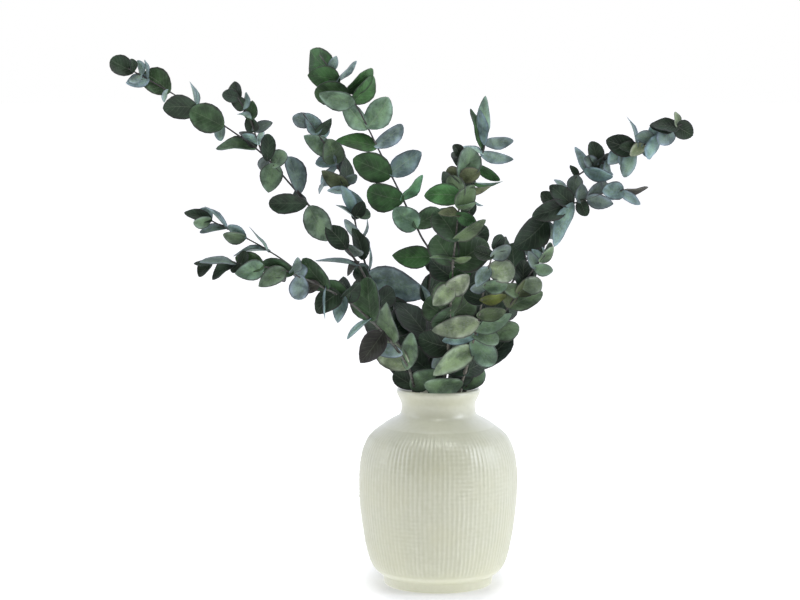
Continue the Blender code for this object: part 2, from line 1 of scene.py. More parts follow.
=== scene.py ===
"""Preserved eucalyptus branches standing in a stoneware vase with a woven relief.

Metres, +Z up.  The origin is the centre of the vase's foot on the table, and -Y is the side
that the bunch shows to the room.
"""
import math
import random

import bmesh
import bpy
import numpy as np
from mathutils import Matrix, Vector, noise
from mathutils.bvhtree import BVHTree

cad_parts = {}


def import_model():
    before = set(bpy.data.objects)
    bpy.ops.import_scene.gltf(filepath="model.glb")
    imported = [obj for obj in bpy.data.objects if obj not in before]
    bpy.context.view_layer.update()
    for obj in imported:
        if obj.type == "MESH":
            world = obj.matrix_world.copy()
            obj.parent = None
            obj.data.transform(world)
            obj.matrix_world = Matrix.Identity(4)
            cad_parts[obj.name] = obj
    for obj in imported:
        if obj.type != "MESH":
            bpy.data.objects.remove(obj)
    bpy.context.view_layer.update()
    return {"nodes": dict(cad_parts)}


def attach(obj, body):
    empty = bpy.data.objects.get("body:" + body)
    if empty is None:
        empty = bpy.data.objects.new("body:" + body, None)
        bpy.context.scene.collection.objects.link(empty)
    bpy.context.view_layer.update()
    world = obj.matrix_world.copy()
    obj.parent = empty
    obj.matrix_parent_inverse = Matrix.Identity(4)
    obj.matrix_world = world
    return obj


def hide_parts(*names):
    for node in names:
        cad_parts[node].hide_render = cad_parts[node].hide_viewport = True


MM = 0.001
MERGE_GAP = 0.02 * MM

# Vase, turned: (radius, height) down the outer side, from the lip to the foot.
VASE_WALL = 5 * MM
VASE_FLOOR = 8 * MM
VASE_INSIDE_TOP = 193
VASE_OUTSIDE = (
    (40, 198), (42, 196), (41, 191.5), (37.5, 184), (37, 178), (39, 171), (49, 165), (64.5, 154),
    (72, 145), (77.5, 130), (79.5, 110), (79, 85), (76.5, 60), (73, 40), (68.5, 23), (63, 14),
    (55.5, 9), (54.5, 0))
VASE_BEND_STEPS = 6
VASE_SHOULDER = 150 * MM
LIP_RISE = 2.2 * MM
FOOT_BEVEL = 0.8 * MM
FOOT_RING = 30 * MM

# How far apart the vase's rows of points are: in the relief, above the shoulder and elsewhere.
RELIEF_ROW = 1.2 * MM
NECK_ROW = 1.8 * MM
PLAIN_ROW = 2.6 * MM

# Woven relief: upright ribs round the vase, crossed by level ones.
RIBS = 104
RIB_SPANS = 4
CROSS_RIB = 4.3 * MM
RELIEF_DEPTH = 0.95 * MM
RELIEF_TOP = 160 * MM
RELIEF_TOP_FADE = 10 * MM
RELIEF_FOOT = 17 * MM
RELIEF_FOOT_FADE = 5 * MM
RING_HEIGHT = 0.32 * MM
RING_HALF_WIDTH = 1.3 * MM
RELIEF_MARGIN = 2 * MM

# Only the outer skin of the wall is pressed, between its foot and its lip.
FOOT_RIM = 1 * MM
LIP_RIM = 190 * MM
WALL_SKIN = 1.5 * MM
PLAIN_TONE = 0.5
PLAIN_WALL_TONE = 0.55

# Stems, inside the vase and out of it.
STEM_FOOT_RADIUS = 47 * MM
STEM_FOOT_CLEARANCE = 2.2 * MM
STEM_STEP = 24 * MM
STEM_THICK = 2.0 * MM
STEM_THIN = 0.75 * MM
TWIG_THICK = 1.1 * MM
RING_STEP = 3 * MM
WOOD_SLIMNESS = 0.82
KNOT_REACH = 2.4 * MM
KNOT_SWELL = 0.42
SWAY = 0.25 * MM
MOUTH_SHARE = 0.15

# Leaves.
LEAF_THICKNESS = 0.8 * MM
LEAF_POINTS = 8
LEAF_GAP = 0.3 * MM
LEAF_STAND_OFF = 0.9 * MM
LEAF_WIDEST = 0.47
OWN_NODE_LENGTH = 35
LEAF_SPANS = 9
LEAF_BANDS = 4
SHEET_THICKNESS = 0.017
SET_ASIDE = 10
SHARED_BASE = 0.15
CLASP_SHARE = 0.35
CLASP = 1.7
CLASP_LIFT = 1.3
FOLIAGE_SEED = 20

# Room: lengths in metres, the tilt in degrees and the lens in mm.  The painted shadow on the
# floor fades out between two distances from the foot's centre, and is drawn out to the front and
# back.
FLOOR_RADIUS = 30
FLOOR_DROP = 0.2 * MM
FOOT_SHADE = (45 * MM, 95 * MM)
FOOT_SHADE_DRAWN_OUT = 0.45
CAMERA_TILT = 6
CAMERA_AIM = (-0.0385, 0, 0.2864)
CAMERA_DISTANCE = 2.212
CAMERA_LENS = 99.54

# Where each stem stands on the vase's floor, in degrees round from +X.
STEM_FEET = {"centre": 30, "centre_right": 75, "right": 110, "far_right": 135, "centre_left": 155,
             "centre_back": 178, "left_centre": 240, "far_left": 275, "lower_left": 320}

# Each stem's line from the mouth of the vase outwards, in mm.
ROUTES = {
    "centre": ((4, -20, 200), (8, -32, 225), (10, -46, 257), (11, -58, 292), (13, -67, 330),
               (18, -70, 379), (20, -68, 400), (22, -62, 424), (20, -58, 435)),
    "centre_right": ((21, -14, 200), (28, -26, 224), (34, -40, 251), (39, -52, 277),
                     (43, -62, 303), (48, -70, 328), (54, -74, 347)),
    "lower_left": ((-24, -14, 200), (-31, -24, 223), (-50, -42, 253), (-69, -56, 274),
                   (-90, -68, 293), (-120, -81, 311), (-134, -85, 317), (-149, -88, 324),
                   (-194, -90, 331), (-229, -84, 330)),
    "lower_left_twig": ((-134, -85, 317), (-144, -80, 328), (-166, -70, 342), (-189, -62, 354),
                        (-223, -52, 370), (-241, -48, 379)),
    "right": ((27, 0, 198), (42, -4, 231), (59, -8, 265), (78, -12, 293), (92, -14, 316),
              (105, -16, 333)),
    "centre_left": ((-8, 8, 196), (-10, 16, 234), (-11, 26, 280), (-7, 34, 326), (-18, 38, 349),
                    (-35, 40, 384), (-59, 38, 433), (-81, 34, 477), (-94, 32, 495),
                    (-119, 32, 530)),
    "far_left": ((-25, 8, 196), (-50, 22, 254), (-82, 40, 320), (-118, 52, 362), (-146, 58, 394),
                 (-179, 60, 430), (-219, 54, 460), (-269, 42, 492), (-311, 30, 517)),
    "far_left_twig": ((-179, 60, 430), (-185, 52, 449), (-190, 46, 465), (-198, 42, 480),
                      (-207, 40, 495)),
    "left_centre": ((-20, 17, 196), (-26, 32, 216), (-44, 50, 245), (-59, 70, 279),
                    (-74, 85, 314), (-84, 97, 352), (-93, 104, 391), (-114, 106, 434),
                    (-139, 100, 470)),
    "far_right": ((20, 10, 196), (32, 22, 231), (56, 34, 271), (79, 42, 305), (99, 48, 338),
                  (117, 50, 375), (132, 50, 396), (147, 48, 412), (174, 44, 424),
                  (204, 38, 438), (244, 26, 461)),
    "far_right_twig": ((117, 50, 375), (136, 44, 380), (154, 38, 386), (169, 32, 392),
                       (187, 26, 394)),
    "centre_back": ((10, 22, 196), (18, 44, 241), (24, 64, 290), (30, 82, 340), (35, 94, 381),
                    (42, 102, 417), (49, 106, 434), (49, 108, 458)),
}

# Leaves of each stem, from the mouth outwards: how far along it the pair sits in mm, then for
# each leaf its heading in the front plane (0 right, 90 up), its lean towards the front and its
# roll (0 shows the upper side to the front, 180 the underside) in degrees, its length and
# width in mm, and its tint.
# The darkest tint here stands partly for painted shade, and the pale one partly for painted
# light.
LEAVES = {
    "centre_right": (
        (5, (180, 16, 0, 37, 24, "sage"), (60, -14, 20, 24, 16, "dark")),
        (20, (150, -25, 10, 28, 22, "dark"), (20, -22, 10, 26, 20, "dark")),
        (48, (212, 26, 0, 45, 23, "pale"), (70, -24, 10, 26, 22, "dark")),
        (55, (316, 14, 0, 29, 25, "sage"), (150, -30, 10, 24, 20, "dark")),
        (65, (348, 6, 5, 24, 20, "sage"), (188, 14, 30, 34, 14, "blue")),
        (72, (22, 10, 5, 35, 18, "sage"), (130, -25, 10, 28, 22, "dark")),
        (79, (188, 20, 0, 44, 23, "pale"), (100, -24, 0, 24, 20, "dark")),
        (88, (8, 0, 10, 26, 16, "moss")),
        (105, (10, 20, 15, 24, 12, "yellow"), (165, -10, 20, 18, 16, "dark")),
        (120, (2, 18, 0, 22, 15, "sage"), (196, 14, 0, 14, 12, "grey")),
        (138, (352, 18, 0, 26, 24, "pale"), (232, 10, 10, 20, 15, "blue")),
        (152, (25, 2, 20, 20, 16, "grey"), (160, 8, 10, 18, 14, "dark")),
        (160, (65, 5, 25, 15, 13, "dark"), (30, -12, 15, 20, 13, "dark"))),
    "lower_left": (
        (2, (36, 24, 0, 29, 22, "sage"), (150, -10, 10, 24, 18, "dark")),
        (27, (138, 4, 0, 36, 28, "pale"), (84, 10, 0, 34, 18, "sage")),
        (45, (165, 28, 25, 31, 15, "blue")),
        (62, (108, 18, 0, 37, 29, "sage")),
        (75, (232, -10, 10, 35, 25, "umber")),
        (97, (212, 20, 78, 29, 13, "blue"), (98, 10, 0, 39, 34, "green")),
        (130, (145, 0, 5, 28, 22, "green"), (100, -16, 15, 24, 18, "dark")),
        (133, (254, 14, 8, 24, 15, "blue"), (40, -15, 20, 22, 18, "dark")),
        (141, (219, 4, 10, 26, 23, "dark")),
        (154, (132, 5, 8, 35, 27, "green"), (266, 24, 76, 31, 11, "blue")),
        (164, (200, -4, 10, 17, 13, "brown")),
        (182, (268, 14, 0, 21, 20, "blue"), (98, 14, 0, 13, 16, "blue")),
        (192, (58, 15, 40, 20, 12, "grey"), (165, -5, 10, 30, 19, "green")),
        (200, (212, 12, 8, 28, 18, "sage"), (238, -22, 10, 20, 16, "dark")),
        (221, (162, -4, 10, 27, 19, "green"), (204, 12, 0, 26, 20, "sage")),
        (241, (72, 0, 20, 13, 10, "dark"), (235, 5, 20, 12, 9, "dark")),
        (248, (168, 10, 72, 32, 14, "grey"), (212, 0, 20, 26, 14, "dark")),
        (272, (178, 0, 45, 15, 9, "dark"), (222, 10, 0, 16, 15, "dark"))),
    "lower_left_twig": (
        (44, (122, 5, 80, 29, 14, "grey"), (178, 5, 80, 33, 15, "grey")),
        (71, (140, 10, 155, 20, 12, "blue"), (174, 10, 10, 21, 14, "sage")),
        (92, (127, 0, 82, 30, 13, "grey"), (185, 0, 62, 26, 12, "grey")),
        (110, (160, 5, 35, 26, 13, "dark"), (186, 8, -20, 21, 13, "sage"),
         (128, -15, 150, 15, 11, "blue"))),
    "centre": (
        (2, (120, -20, 0, 24, 22, "dark")),
        (22, (75, -32, -10, 34, 30, "dark")),
        (38, (215, -8, 5, 20, 16, "grey"), (15, -22, 150, 28, 20, "olive")),
        (50, (165, -16, 5, 32, 28, "dark"), (110, -22, -8, 34, 30, "dark")),
        (83, (150, -14, 10, 30, 28, "green"), (40, -20, -8, 32, 28, "moss")),
        (90, (98, -6, -5, 30, 32, "moss"), (225, -12, 10, 24, 22, "green")),
        (112, (42, 24, 0, 23, 20, "pale"), (220, 22, 0, 24, 20, "pale")),
        (125, (142, -12, 5, 28, 23, "dark"), (24, -5, 5, 24, 17, "vivid")),
        (139, (34, -8, 0, 38, 38, "green"), (127, -8, 5, 32, 32, "green")),
        (143, (171, 18, 70, 24, 10, "moss"), (3, 16, 70, 18, 9, "moss")),
        (163, (28, 16, 42, 34, 16, "moss"), (124, 2, 5, 32, 31, "green")),
        (186, (168, 24, 50, 20, 12, "olive"), (330, 0, 10, 20, 14, "bright")),
        (194, (55, 12, 15, 25, 20, "moss"), (5, 24, 50, 17, 12, "moss")),
        (204, (178, 8, 0, 34, 22, "bright"), (120, 2, 10, 22, 20, "moss")),
        (210, (0, 16, 62, 30, 13, "olive"), (140, -6, 15, 26, 16, "dark")),
        (222, (160, 18, 0, 18, 16, "olive"), (16, 16, 0, 18, 16, "olive"),
         (72, -8, 10, 31, 24, "sage")),
        (233, (118, -25, 20, 20, 15, "dark"), (50, -15, 10, 20, 14, "dark")),
        (243, (120, 10, 20, 14, 12, "dark"))),
    "right": (
        (2, (46, 18, 0, 25, 18, "sage"), (130, -15, 10, 22, 18, "dark")),
        (25, (42, -8, 10, 46, 29, "dark"), (150, -20, 0, 30, 24, "dark")),
        (62, (12, 4, 10, 28, 22, "moss"), (80, -20, 10, 35, 30, "dark")),
        (96, (25, -8, 10, 35, 24, "moss"), (100, 16, 30, 26, 18, "olive")),
        (110, (40, 6, 10, 24, 18, "olive"), (150, 16, 20, 20, 15, "moss")),
        (119, (14, 15, 5, 22, 19, "pale"), (85, -8, 10, 26, 20, "dark")),
        (142, (345, 5, 20, 18, 14, "sage"), (110, 10, 30, 17, 13, "grey")),
        (150, (42, 5, 35, 19, 12, "sage"), (118, 0, 150, 15, 10, "blue")),
        (156, (52, 0, 50, 15, 10, "dark"), (75, 10, 20, 10, 8, "blue"))),
    "centre_left": (
        (20, (142, 5, 10, 35, 26, "dark"), (40, -10, 10, 35, 30, "dark")),
        (55, (128, -28, 5, 50, 36, "dark"), (52, -20, 5, 42, 34, "dark")),
        (90, (112, 10, 140, 20, 12, "blue"), (70, -20, 10, 30, 26, "dark")),
        (135, (180, 0, 6, 37, 24, "vivid"), (300, -14, 15, 35, 26, "dark")),
        (170, (146, 12, 0, 27, 26, "mint"), (28, -5, 0, 30, 21, "green")),
        (200, (168, 8, 0, 35, 33, "vivid"), (46, 0, 38, 31, 16, "fresh")),
        (228, (159, 5, 0, 39, 32, "vivid"), (34, 0, 162, 36, 25, "blue")),
        (260, (167, 10, 22, 39, 20, "vivid"), (34, -5, 152, 33, 20, "blue")),
        (281, (132, -2, 168, 36, 21, "mint"), (54, 5, 172, 35, 28, "mint")),
        (310, (166, 26, 12, 37, 21, "sage"), (45, -8, 15, 33, 22, "bright")),
        (322, (182, 12, 10, 32, 26, "green"), (36, 5, 0, 35, 20, "bright")),
        (336, (172, 1, 8, 31, 26, "vivid"), (42, 0, 66, 27, 12, "blue")),
        (349, (140, -16, -10, 37, 31, "vivid"), (65, 10, 150, 16, 10, "blue"))),
    "far_left": (
        (14, (132, 0, 20, 34, 24, "dark"), (75, -15, 10, 34, 30, "dark")),
        (60, (138, -14, 5, 35, 28, "dark"), (50, -14, 5, 35, 30, "dark")),
        (92, (150, -35, 5, 28, 22, "dark"), (40, -40, 5, 28, 22, "dark")),
        (118, (232, -14, 5, 30, 24, "green"), (130, -25, 5, 20, 16, "dark")),
        (140, (168, 10, 76, 41, 18, "grey"), (225, 5, 20, 16, 12, "brown")),
        (162, (132, 8, 0, 27, 22, "dark"), (330, -20, 30, 22, 14, "grey")),
        (214, (302, 18, 0, 38, 28, "sage")),
        (223, (181, 4, -18, 36, 22, "dark")),
        (236, (106, -8, 5, 37, 23, "grey"), (300, -20, 30, 18, 14, "grey")),
        (272, (259, 8, 0, 28, 24, "sage"), (56, 4, 5, 18, 20, "sage")),
        (282, (88, 5, 5, 25, 16, "dark"), (240, -25, 20, 18, 14, "grey")),
        (300, (173, 8, 22, 37, 21, "sage"), (128, -15, 10, 22, 18, "dark")),
        (340, (153, 10, 0, 35, 30, "green"), (262, -5, 140, 17, 12, "blue")),
        (372, (183, 8, -8, 33, 28, "dark"), (97, -5, 80, 27, 14, "blue")),
        (404, (143, 10, 0, 30, 27, "green"), (245, 5, 140, 13, 9, "blue")),
        (428, (190, 10, 150, 22, 15, "blue"), (93, 0, 80, 20, 10, "grey")),
        (436, (88, -5, 140, 15, 10, "blue"), (205, -5, 150, 14, 10, "blue")),
        (445, (152, 0, 8, 25, 21, "dark"), (100, -15, 30, 12, 9, "dark"))),
    "far_left_twig": (
        (13, (145, 5, 145, 18, 10, "blue"), (72, 5, 60, 16, 9, "blue")),
        (28, (112, 14, 0, 15, 14, "dark"), (28, 0, 15, 20, 12, "grey")),
        (41, (82, 5, 0, 18, 15, "green"), (150, -8, 150, 14, 10, "blue")),
        (54, (138, 12, 5, 16, 14, "dark"), (72, 0, 155, 16, 11, "blue")),
        (65, (104, 0, 5, 19, 15, "dark"), (165, 8, 5, 18, 14, "dark"))),
    "left_centre": (
        (34, (40, -20, 10, 28, 24, "dark")),
        (68, (320, -4, 10, 35, 28, "dark"), (195, -22, 10, 32, 28, "dark")),
        (104, (318, -14, 5, 42, 34, "dark")),
        (135, (337, 10, 0, 62, 38, "blue"), (150, -6, 30, 20, 14, "grey")),
        (140, (82, -5, 78, 28, 11, "grey"), (190, -5, 20, 14, 10, "brown")),
        (157, (107, 10, 15, 31, 17, "dark"), (82, -20, 80, 22, 14, "blue")),
        (172, (118, 6, 145, 30, 13, "blue"), (64, 0, 70, 26, 11, "grey")),
        (200, (58, 8, 5, 19, 14, "dark"), (139, 5, 70, 23, 13, "grey")),
        (206, (344, -8, 10, 19, 13, "sage"), (125, 5, 160, 30, 15, "blue")),
        (228, (311, 0, 52, 26, 12, "blue"), (172, 10, 150, 22, 12, "blue")),
        (235, (152, 14, 5, 29, 18, "olive"), (88, -10, 25, 30, 18, "dark")),
        (240, (189, -6, 150, 22, 13, "blue"), (20, -10, 30, 16, 12, "grey")),
        (255, (231, -8, 60, 42, 17, "grey"), (70, -20, 30, 22, 16, "grey")),
        (262, (103, 15, 0, 24, 24, "moss"), (183, -5, 155, 20, 18, "blue")),
        (272, (145, 8, 15, 32, 20, "sage"), (35, -8, 45, 18, 11, "grey")),
        (288, (62, -14, 130, 19, 9, "blue")),
        (297, (114, 10, 10, 23, 18, "blue"), (40, 4, 20, 21, 13, "dark")),
        (308, (156, 8, 5, 21, 18, "blue"), (48, -10, 76, 14, 7, "grey"))),
    "far_right": (
        (42, (115, -15, 5, 34, 30, "dark"), (30, -20, 5, 34, 30, "dark")),
        (87, (110, -10, 5, 34, 30, "dark"), (20, -20, 5, 34, 30, "dark")),
        (130, (95, 0, 10, 34, 26, "dark"), (30, -20, 10, 28, 24, "dark")),
        (158, (130, 4, 20, 22, 14, "grey"), (40, -15, 20, 20, 14, "dark")),
        (193, (220, 8, 0, 41, 32, "dark"), (300, -10, 20, 22, 16, "grey")),
        (213, (135, -8, 12, 19, 15, "dark"), (330, -20, 20, 14, 10, "grey")),
        (232, (128, -20, 40, 17, 9, "blue"), (340, -10, 20, 18, 13, "grey")),
        (249, (256, 4, 15, 20, 17, "grey"), (112, -10, 40, 14, 9, "dark")),
        (261, (112, -8, 150, 26, 12, "blue"), (344, 10, 20, 28, 16, "blue")),
        (273, (102, 8, 8, 25, 17, "dark"), (40, 5, 5, 18, 16, "dark"),
         (140, 14, 5, 17, 14, "grey")),
        (284, (283, 5, 150, 18, 9, "blue"), (225, -5, 150, 14, 10, "blue")),
        (300, (200, 8, 165, 18, 17, "blue"), (285, 8, 160, 15, 13, "blue")),
        (314, (160, 8, 5, 30, 23, "dark"), (247, 12, 170, 31, 16, "blue")),
        (317, (96, -5, 78, 33, 14, "blue"), (172, 20, 10, 19, 13, "dark")),
        (324, (216, 20, 10, 18, 13, "pale"), (300, 5, 150, 14, 10, "blue")),
        (336, (165, -8, 150, 20, 15, "grey"), (96, 6, 150, 14, 11, "blue")),
        (343, (240, 8, 160, 26, 16, "blue"), (20, -8, 160, 18, 14, "blue")),
        (356, (226, 14, 160, 19, 20, "blue"), (164, 4, 15, 22, 15, "dark")),
        (364, (172, 2, 20, 28, 18, "dark"), (330, 0, 0, 18, 20, "dark"),
         (98, 5, 30, 15, 10, "pale"))),
    "far_right_twig": (
        (14, (197, 8, 0, 36, 22, "dark"), (72, -10, 20, 14, 10, "grey")),
        (20, (139, 6, 10, 29, 19, "dark"), (234, 12, 158, 47, 18, "blue")),
        (30, (292, 8, 5, 16, 14, "dark"), (85, -4, 20, 18, 15, "grey")),
        (39, (345, 12, 20, 25, 17, "grey"), (44, 0, 15, 25, 14, "grey")),
        (60, (320, 10, 150, 12, 10, "blue"), (110, -10, 20, 12, 10, "grey")),
        (77, (180, 10, 5, 20, 19, "blue"), (1, 0, 60, 27, 13, "brown"),
         (318, 5, 38, 23, 12, "blue"))),
    "centre_back": (
        (55, (50, -15, 10, 34, 30, "dark"), (130, -15, 10, 34, 30, "dark")),
        (104, (25, -10, 10, 34, 30, "dark"), (155, -10, 10, 34, 30, "dark")),
        (152, (40, -10, 10, 30, 26, "dark"), (140, -10, 10, 30, 26, "dark")),
        (184, (95, -12, 10, 24, 18, "dark")),
        (202, (318, -5, 78, 18, 9, "blue"), (150, -10, 20, 20, 16, "dark")),
        (219, (353, 0, 66, 30, 14, "vivid"), (170, -10, 20, 24, 18, "dark")),
        (237, (324, 5, 38, 28, 14, "vivid"), (155, -5, 10, 20, 15, "dark")),
        (251, (158, 8, 58, 26, 12, "blue"), (346, 5, 150, 33, 14, "blue")),
        (257, (103, -4, 22, 44, 15, "vivid")),
        (263, (94, 12, 148, 36, 13, "blue"), (2, 0, 158, 30, 14, "blue")),
        (272, (93, -12, 165, 39, 17, "mint"))),
}

# Colours of the sides that the leaves show, of the underside in general and of the bark.
# The darkest leaf tint is partly painted shade, given to leaves deep in the bunch; the pale
# tint is partly painted light, given to some shaded leaves low in front so that they look lit.
TINTS = {
    "dark": (0.017, 0.036, 0.019), "green": (0.048, 0.100, 0.045), "vivid": (0.032, 0.108, 0.026),
    "fresh": (0.085, 0.21, 0.105), "sage": (0.172, 0.254, 0.180), "pale": (0.33, 0.40, 0.29),
    "blue": (0.24, 0.335, 0.365), "grey": (0.14, 0.185, 0.195), "olive": (0.10, 0.12, 0.06),
    "yellow": (0.17, 0.19, 0.05), "brown": (0.072, 0.062, 0.056), "umber": (0.017, 0.016, 0.012),
    "moss": (0.105, 0.155, 0.09), "bright": (0.06, 0.17, 0.055),
    "mint": (0.235, 0.385, 0.295)}
UNDERSIDE = (0.25, 0.34, 0.365)
# The stems at the front are given lighter tones than those further back.
BARK_TONES = {
    "centre": (0.17, 0.165, 0.13), "centre_right": (0.20, 0.19, 0.15),
    "lower_left": (0.12, 0.125, 0.105), "right": (0.075, 0.07, 0.055),
    "centre_left": (0.055, 0.055, 0.045), "far_left": (0.055, 0.05, 0.045),
    "left_centre": (0.05, 0.05, 0.047), "far_right": (0.065, 0.055, 0.05),
    "centre_back": (0.06, 0.06, 0.045)}

# Leaf forms: (share of the length, share of the width) from the stalk to the tip, then how
# much each is cupped across, arched along and creased at the midrib.
LEAF_FORMS = {
    "round_full": (((-0.03, 0.06), (-0.01, 0.38), (0.06, 0.68), (0.18, 0.91), (0.34, 1.0),
                    (0.52, 0.98), (0.70, 0.86), (0.86, 0.62), (0.965, 0.31), (1.0, 0.04)),
                   0.10, 0.10, 0.010),
    "round_wide": (((-0.03, 0.06), (-0.02, 0.48), (0.05, 0.78), (0.16, 0.96), (0.31, 1.0),
                    (0.48, 0.96), (0.66, 0.84), (0.83, 0.60), (0.95, 0.30), (1.0, 0.03)),
                   0.16, 0.06, 0.014),
    "round_blunt": (((-0.03, 0.06), (0.0, 0.28), (0.08, 0.54), (0.22, 0.80), (0.39, 0.96),
                     (0.57, 1.0), (0.75, 0.91), (0.89, 0.68), (0.975, 0.36), (1.0, 0.06)),
                    0.06, 0.14, 0.008),
    "ovate_full": (((-0.03, 0.06), (0.0, 0.32), (0.07, 0.60), (0.19, 0.86), (0.35, 0.99),
                    (0.52, 0.98), (0.69, 0.85), (0.85, 0.58), (0.96, 0.27), (1.0, 0.03)),
                   0.10, 0.12, 0.012),
    "ovate_tipped": (((-0.03, 0.06), (0.0, 0.36), (0.07, 0.67), (0.18, 0.91), (0.32, 1.0),
                      (0.48, 0.96), (0.65, 0.81), (0.81, 0.56), (0.93, 0.27), (1.0, 0.02)),
                     0.14, 0.16, 0.014),
    "ovate_blunt": (((-0.03, 0.06), (0.0, 0.30), (0.08, 0.56), (0.21, 0.81), (0.38, 0.96),
                     (0.56, 1.0), (0.74, 0.90), (0.89, 0.64), (0.975, 0.33), (1.0, 0.05)),
                    0.18, 0.08, 0.010),
    "long_even": (((-0.03, 0.10), (0.01, 0.32), (0.09, 0.60), (0.22, 0.85), (0.38, 0.99),
                   (0.55, 0.99), (0.72, 0.83), (0.86, 0.56), (0.96, 0.28), (1.0, 0.04)),
                  0.14, 0.12, 0.015),
    "long_tapered": (((-0.03, 0.10), (0.0, 0.36), (0.08, 0.66), (0.20, 0.91), (0.35, 1.0),
                      (0.52, 0.94), (0.69, 0.77), (0.84, 0.52), (0.95, 0.25), (1.0, 0.02)),
                     0.10, 0.20, 0.015),
}


# --- lines ----------------------------------------------------------------------------------

def smooth_line(points, per_span=8):
    """Catmull-Rom curve through the points, as a list of close points."""
    ends = [points[0] * 2 - points[1], *points, points[-1] * 2 - points[-2]]
    line = []
    for a, b, c, d in zip(ends, ends[1:], ends[2:], ends[3:]):
        for k in range(per_span):
            t = k / per_span
            line.append(0.5 * (2 * b + (c - a) * t + (2 * a - 5 * b + 4 * c - d) * t * t
                               + (3 * b - 3 * c + d - a) * t ** 3))
    line.append(points[-1])
    return line


def point_along(line, distance):
    """The point and the direction at a distance along a line of close points."""
    left = distance
    for a, b in zip(line, line[1:]):
        span = (b - a).length
        if left <= span:
            break
        left -= span
    return a + (b - a) * min(left / span, 1), (b - a).normalized()


def line_length(line):
    return sum((b - a).length for a, b in zip(line, line[1:]))


def outer_line(name):
    """The part of a stem or twig that is out of the vase."""
    return smooth_line([Vector(p) * MM for p in ROUTES[name]])


def inner_line(name):
    """A stem's lower part, straight from the vase's floor up to its mouth."""
    mouth = Vector(ROUTES[name][0]) * MM
    angle = math.radians(STEM_FEET[name])
    foot = Vector((STEM_FOOT_RADIUS * math.cos(angle), STEM_FOOT_RADIUS * math.sin(angle),
                   VASE_FLOOR + STEM_FOOT_CLEARANCE))
    return [foot.lerp(mouth, t) for t in (0, 0.3, 0.6, 0.85)]


OUTER_LINES = {name: outer_line(name) for name in ROUTES}
OUTER_LENGTHS = {name: line_length(line) for name, line in OUTER_LINES.items()}


def stem_radius(name, distance):
    """A stem tapers from the mouth to its tip."""
    thick = TWIG_THICK if name.endswith("twig") else STEM_THICK
    share = min(max(distance / OUTER_LENGTHS[name], 0), 1)
    return thick + (STEM_THIN - thick) * share ** 0.8


# --- laying the leaves ----------------------------------------------------------------------

def leaf_outline(length, width, corners):
    """Points round an ovate leaf from its tip: centre first, length along X, cupped in Z."""
    def bend(x, y):
        return 0.5 * y * y / max(width, length * 0.4) - 0.14 * x * x / length

    points = [Vector((LEAF_WIDEST * length, 0, bend(LEAF_WIDEST * length, 0)))]
    for k in range(corners):
        turn = 2 * math.pi * k / corners
        x = length * (0.5 + 0.5 * math.cos(turn))
        x += length * (LEAF_WIDEST - 0.5) * math.sin(turn) ** 2
        y = 0.52 * width * math.sin(turn)
        points.append(Vector((x, y, bend(x, y))))
    return points


def leaf_solid(length, width, thickness, corners=LEAF_POINTS):
    """Corner points and faces of a closed leaf."""
    sheet = leaf_outline(length, width, corners)
    count = len(sheet)
    half = Vector((0, 0, thickness / 2))
    points = [p + half for p in sheet] + [p - half for p in sheet]
    faces = []
    for k in range(1, count):
        after = k % corners + 1
        faces.append((0, k, after))
        faces.append((count, count + after, count + k))
        faces.append((k, count + k, count + after, after))
    return points, faces


def leaf_axes(heading, lean, roll):
    """Rotation that lays a leaf's length on its direction and its upper side on its face."""
    heading, lean = math.radians(heading), math.radians(lean)
    along = Vector((math.cos(heading) * math.cos(lean), -math.sin(lean),
                    math.sin(heading) * math.cos(lean)))
    face = Vector((0, -1, 0))
    face = (face - along * face.dot(along)).normalized()
    face = Matrix.Rotation(math.radians(roll), 3, along) @ face
    return Matrix((along, face.cross(along), face)).transposed()


def leaf_place(stem, distance, leaf, joined):
    """Where a leaf stands: joined ones start in the stem's wood, the others just off it."""
    heading, lean, roll = leaf[:3]
    axes = leaf_axes(heading, lean, roll)
    point, tangent = point_along(OUTER_LINES[stem], distance * MM)
    away = axes.col[0] - tangent * axes.col[0].dot(tangent)
    radius = stem_radius(stem, distance * MM)
    gap = 0.2 * radius if joined else radius + LEAF_STAND_OFF
    return Matrix.Translation(point + away.normalized() * gap) @ axes.to_4x4()


def nudges():
    """Small changes of heading, lean, roll and size, the smallest change first."""
    tries = [(heading, lean, roll, size)
             for heading in (0, 8, -8, 16, -16, 26, -26)
             for lean in (0, 8, -8, 16, -16, 26, -26, 38, -38)
             for roll in (0, 18, -18, 36, -36)
             for size in (1, 0.92, 0.82, 0.7)]
    return sorted(tries, key=lambda t: abs(t[0]) / 7 + abs(t[1]) / 9 + abs(t[2]) / 22
                  + (1 - t[3]) * 20)


def leaf_tree(place, length, width, start=0):
    """A leaf as a search tree, a little larger than the leaf, from a share of its length on."""
    points, faces = leaf_solid(length * (1.02 - start), width * 1.04,
                               LEAF_THICKNESS + 2 * LEAF_GAP)
    shift = Vector((length * start, 0, 0))
    return BVHTree.FromPolygons([place @ (p + shift) for p in points], faces)


def settle_leaves(obstacles):
    """Lay every leaf in turn, nudged until it is clear of the stems and earlier leaves."""
    laid = []
    tries = nudges()
    for stem, pairs in LEAVES.items():
        for distance, *leaves in pairs:
            for leaf in leaves:
                found = settle_leaf(stem, distance, leaf, tries, obstacles)
                if found:
                    laid.append(found)
    return laid


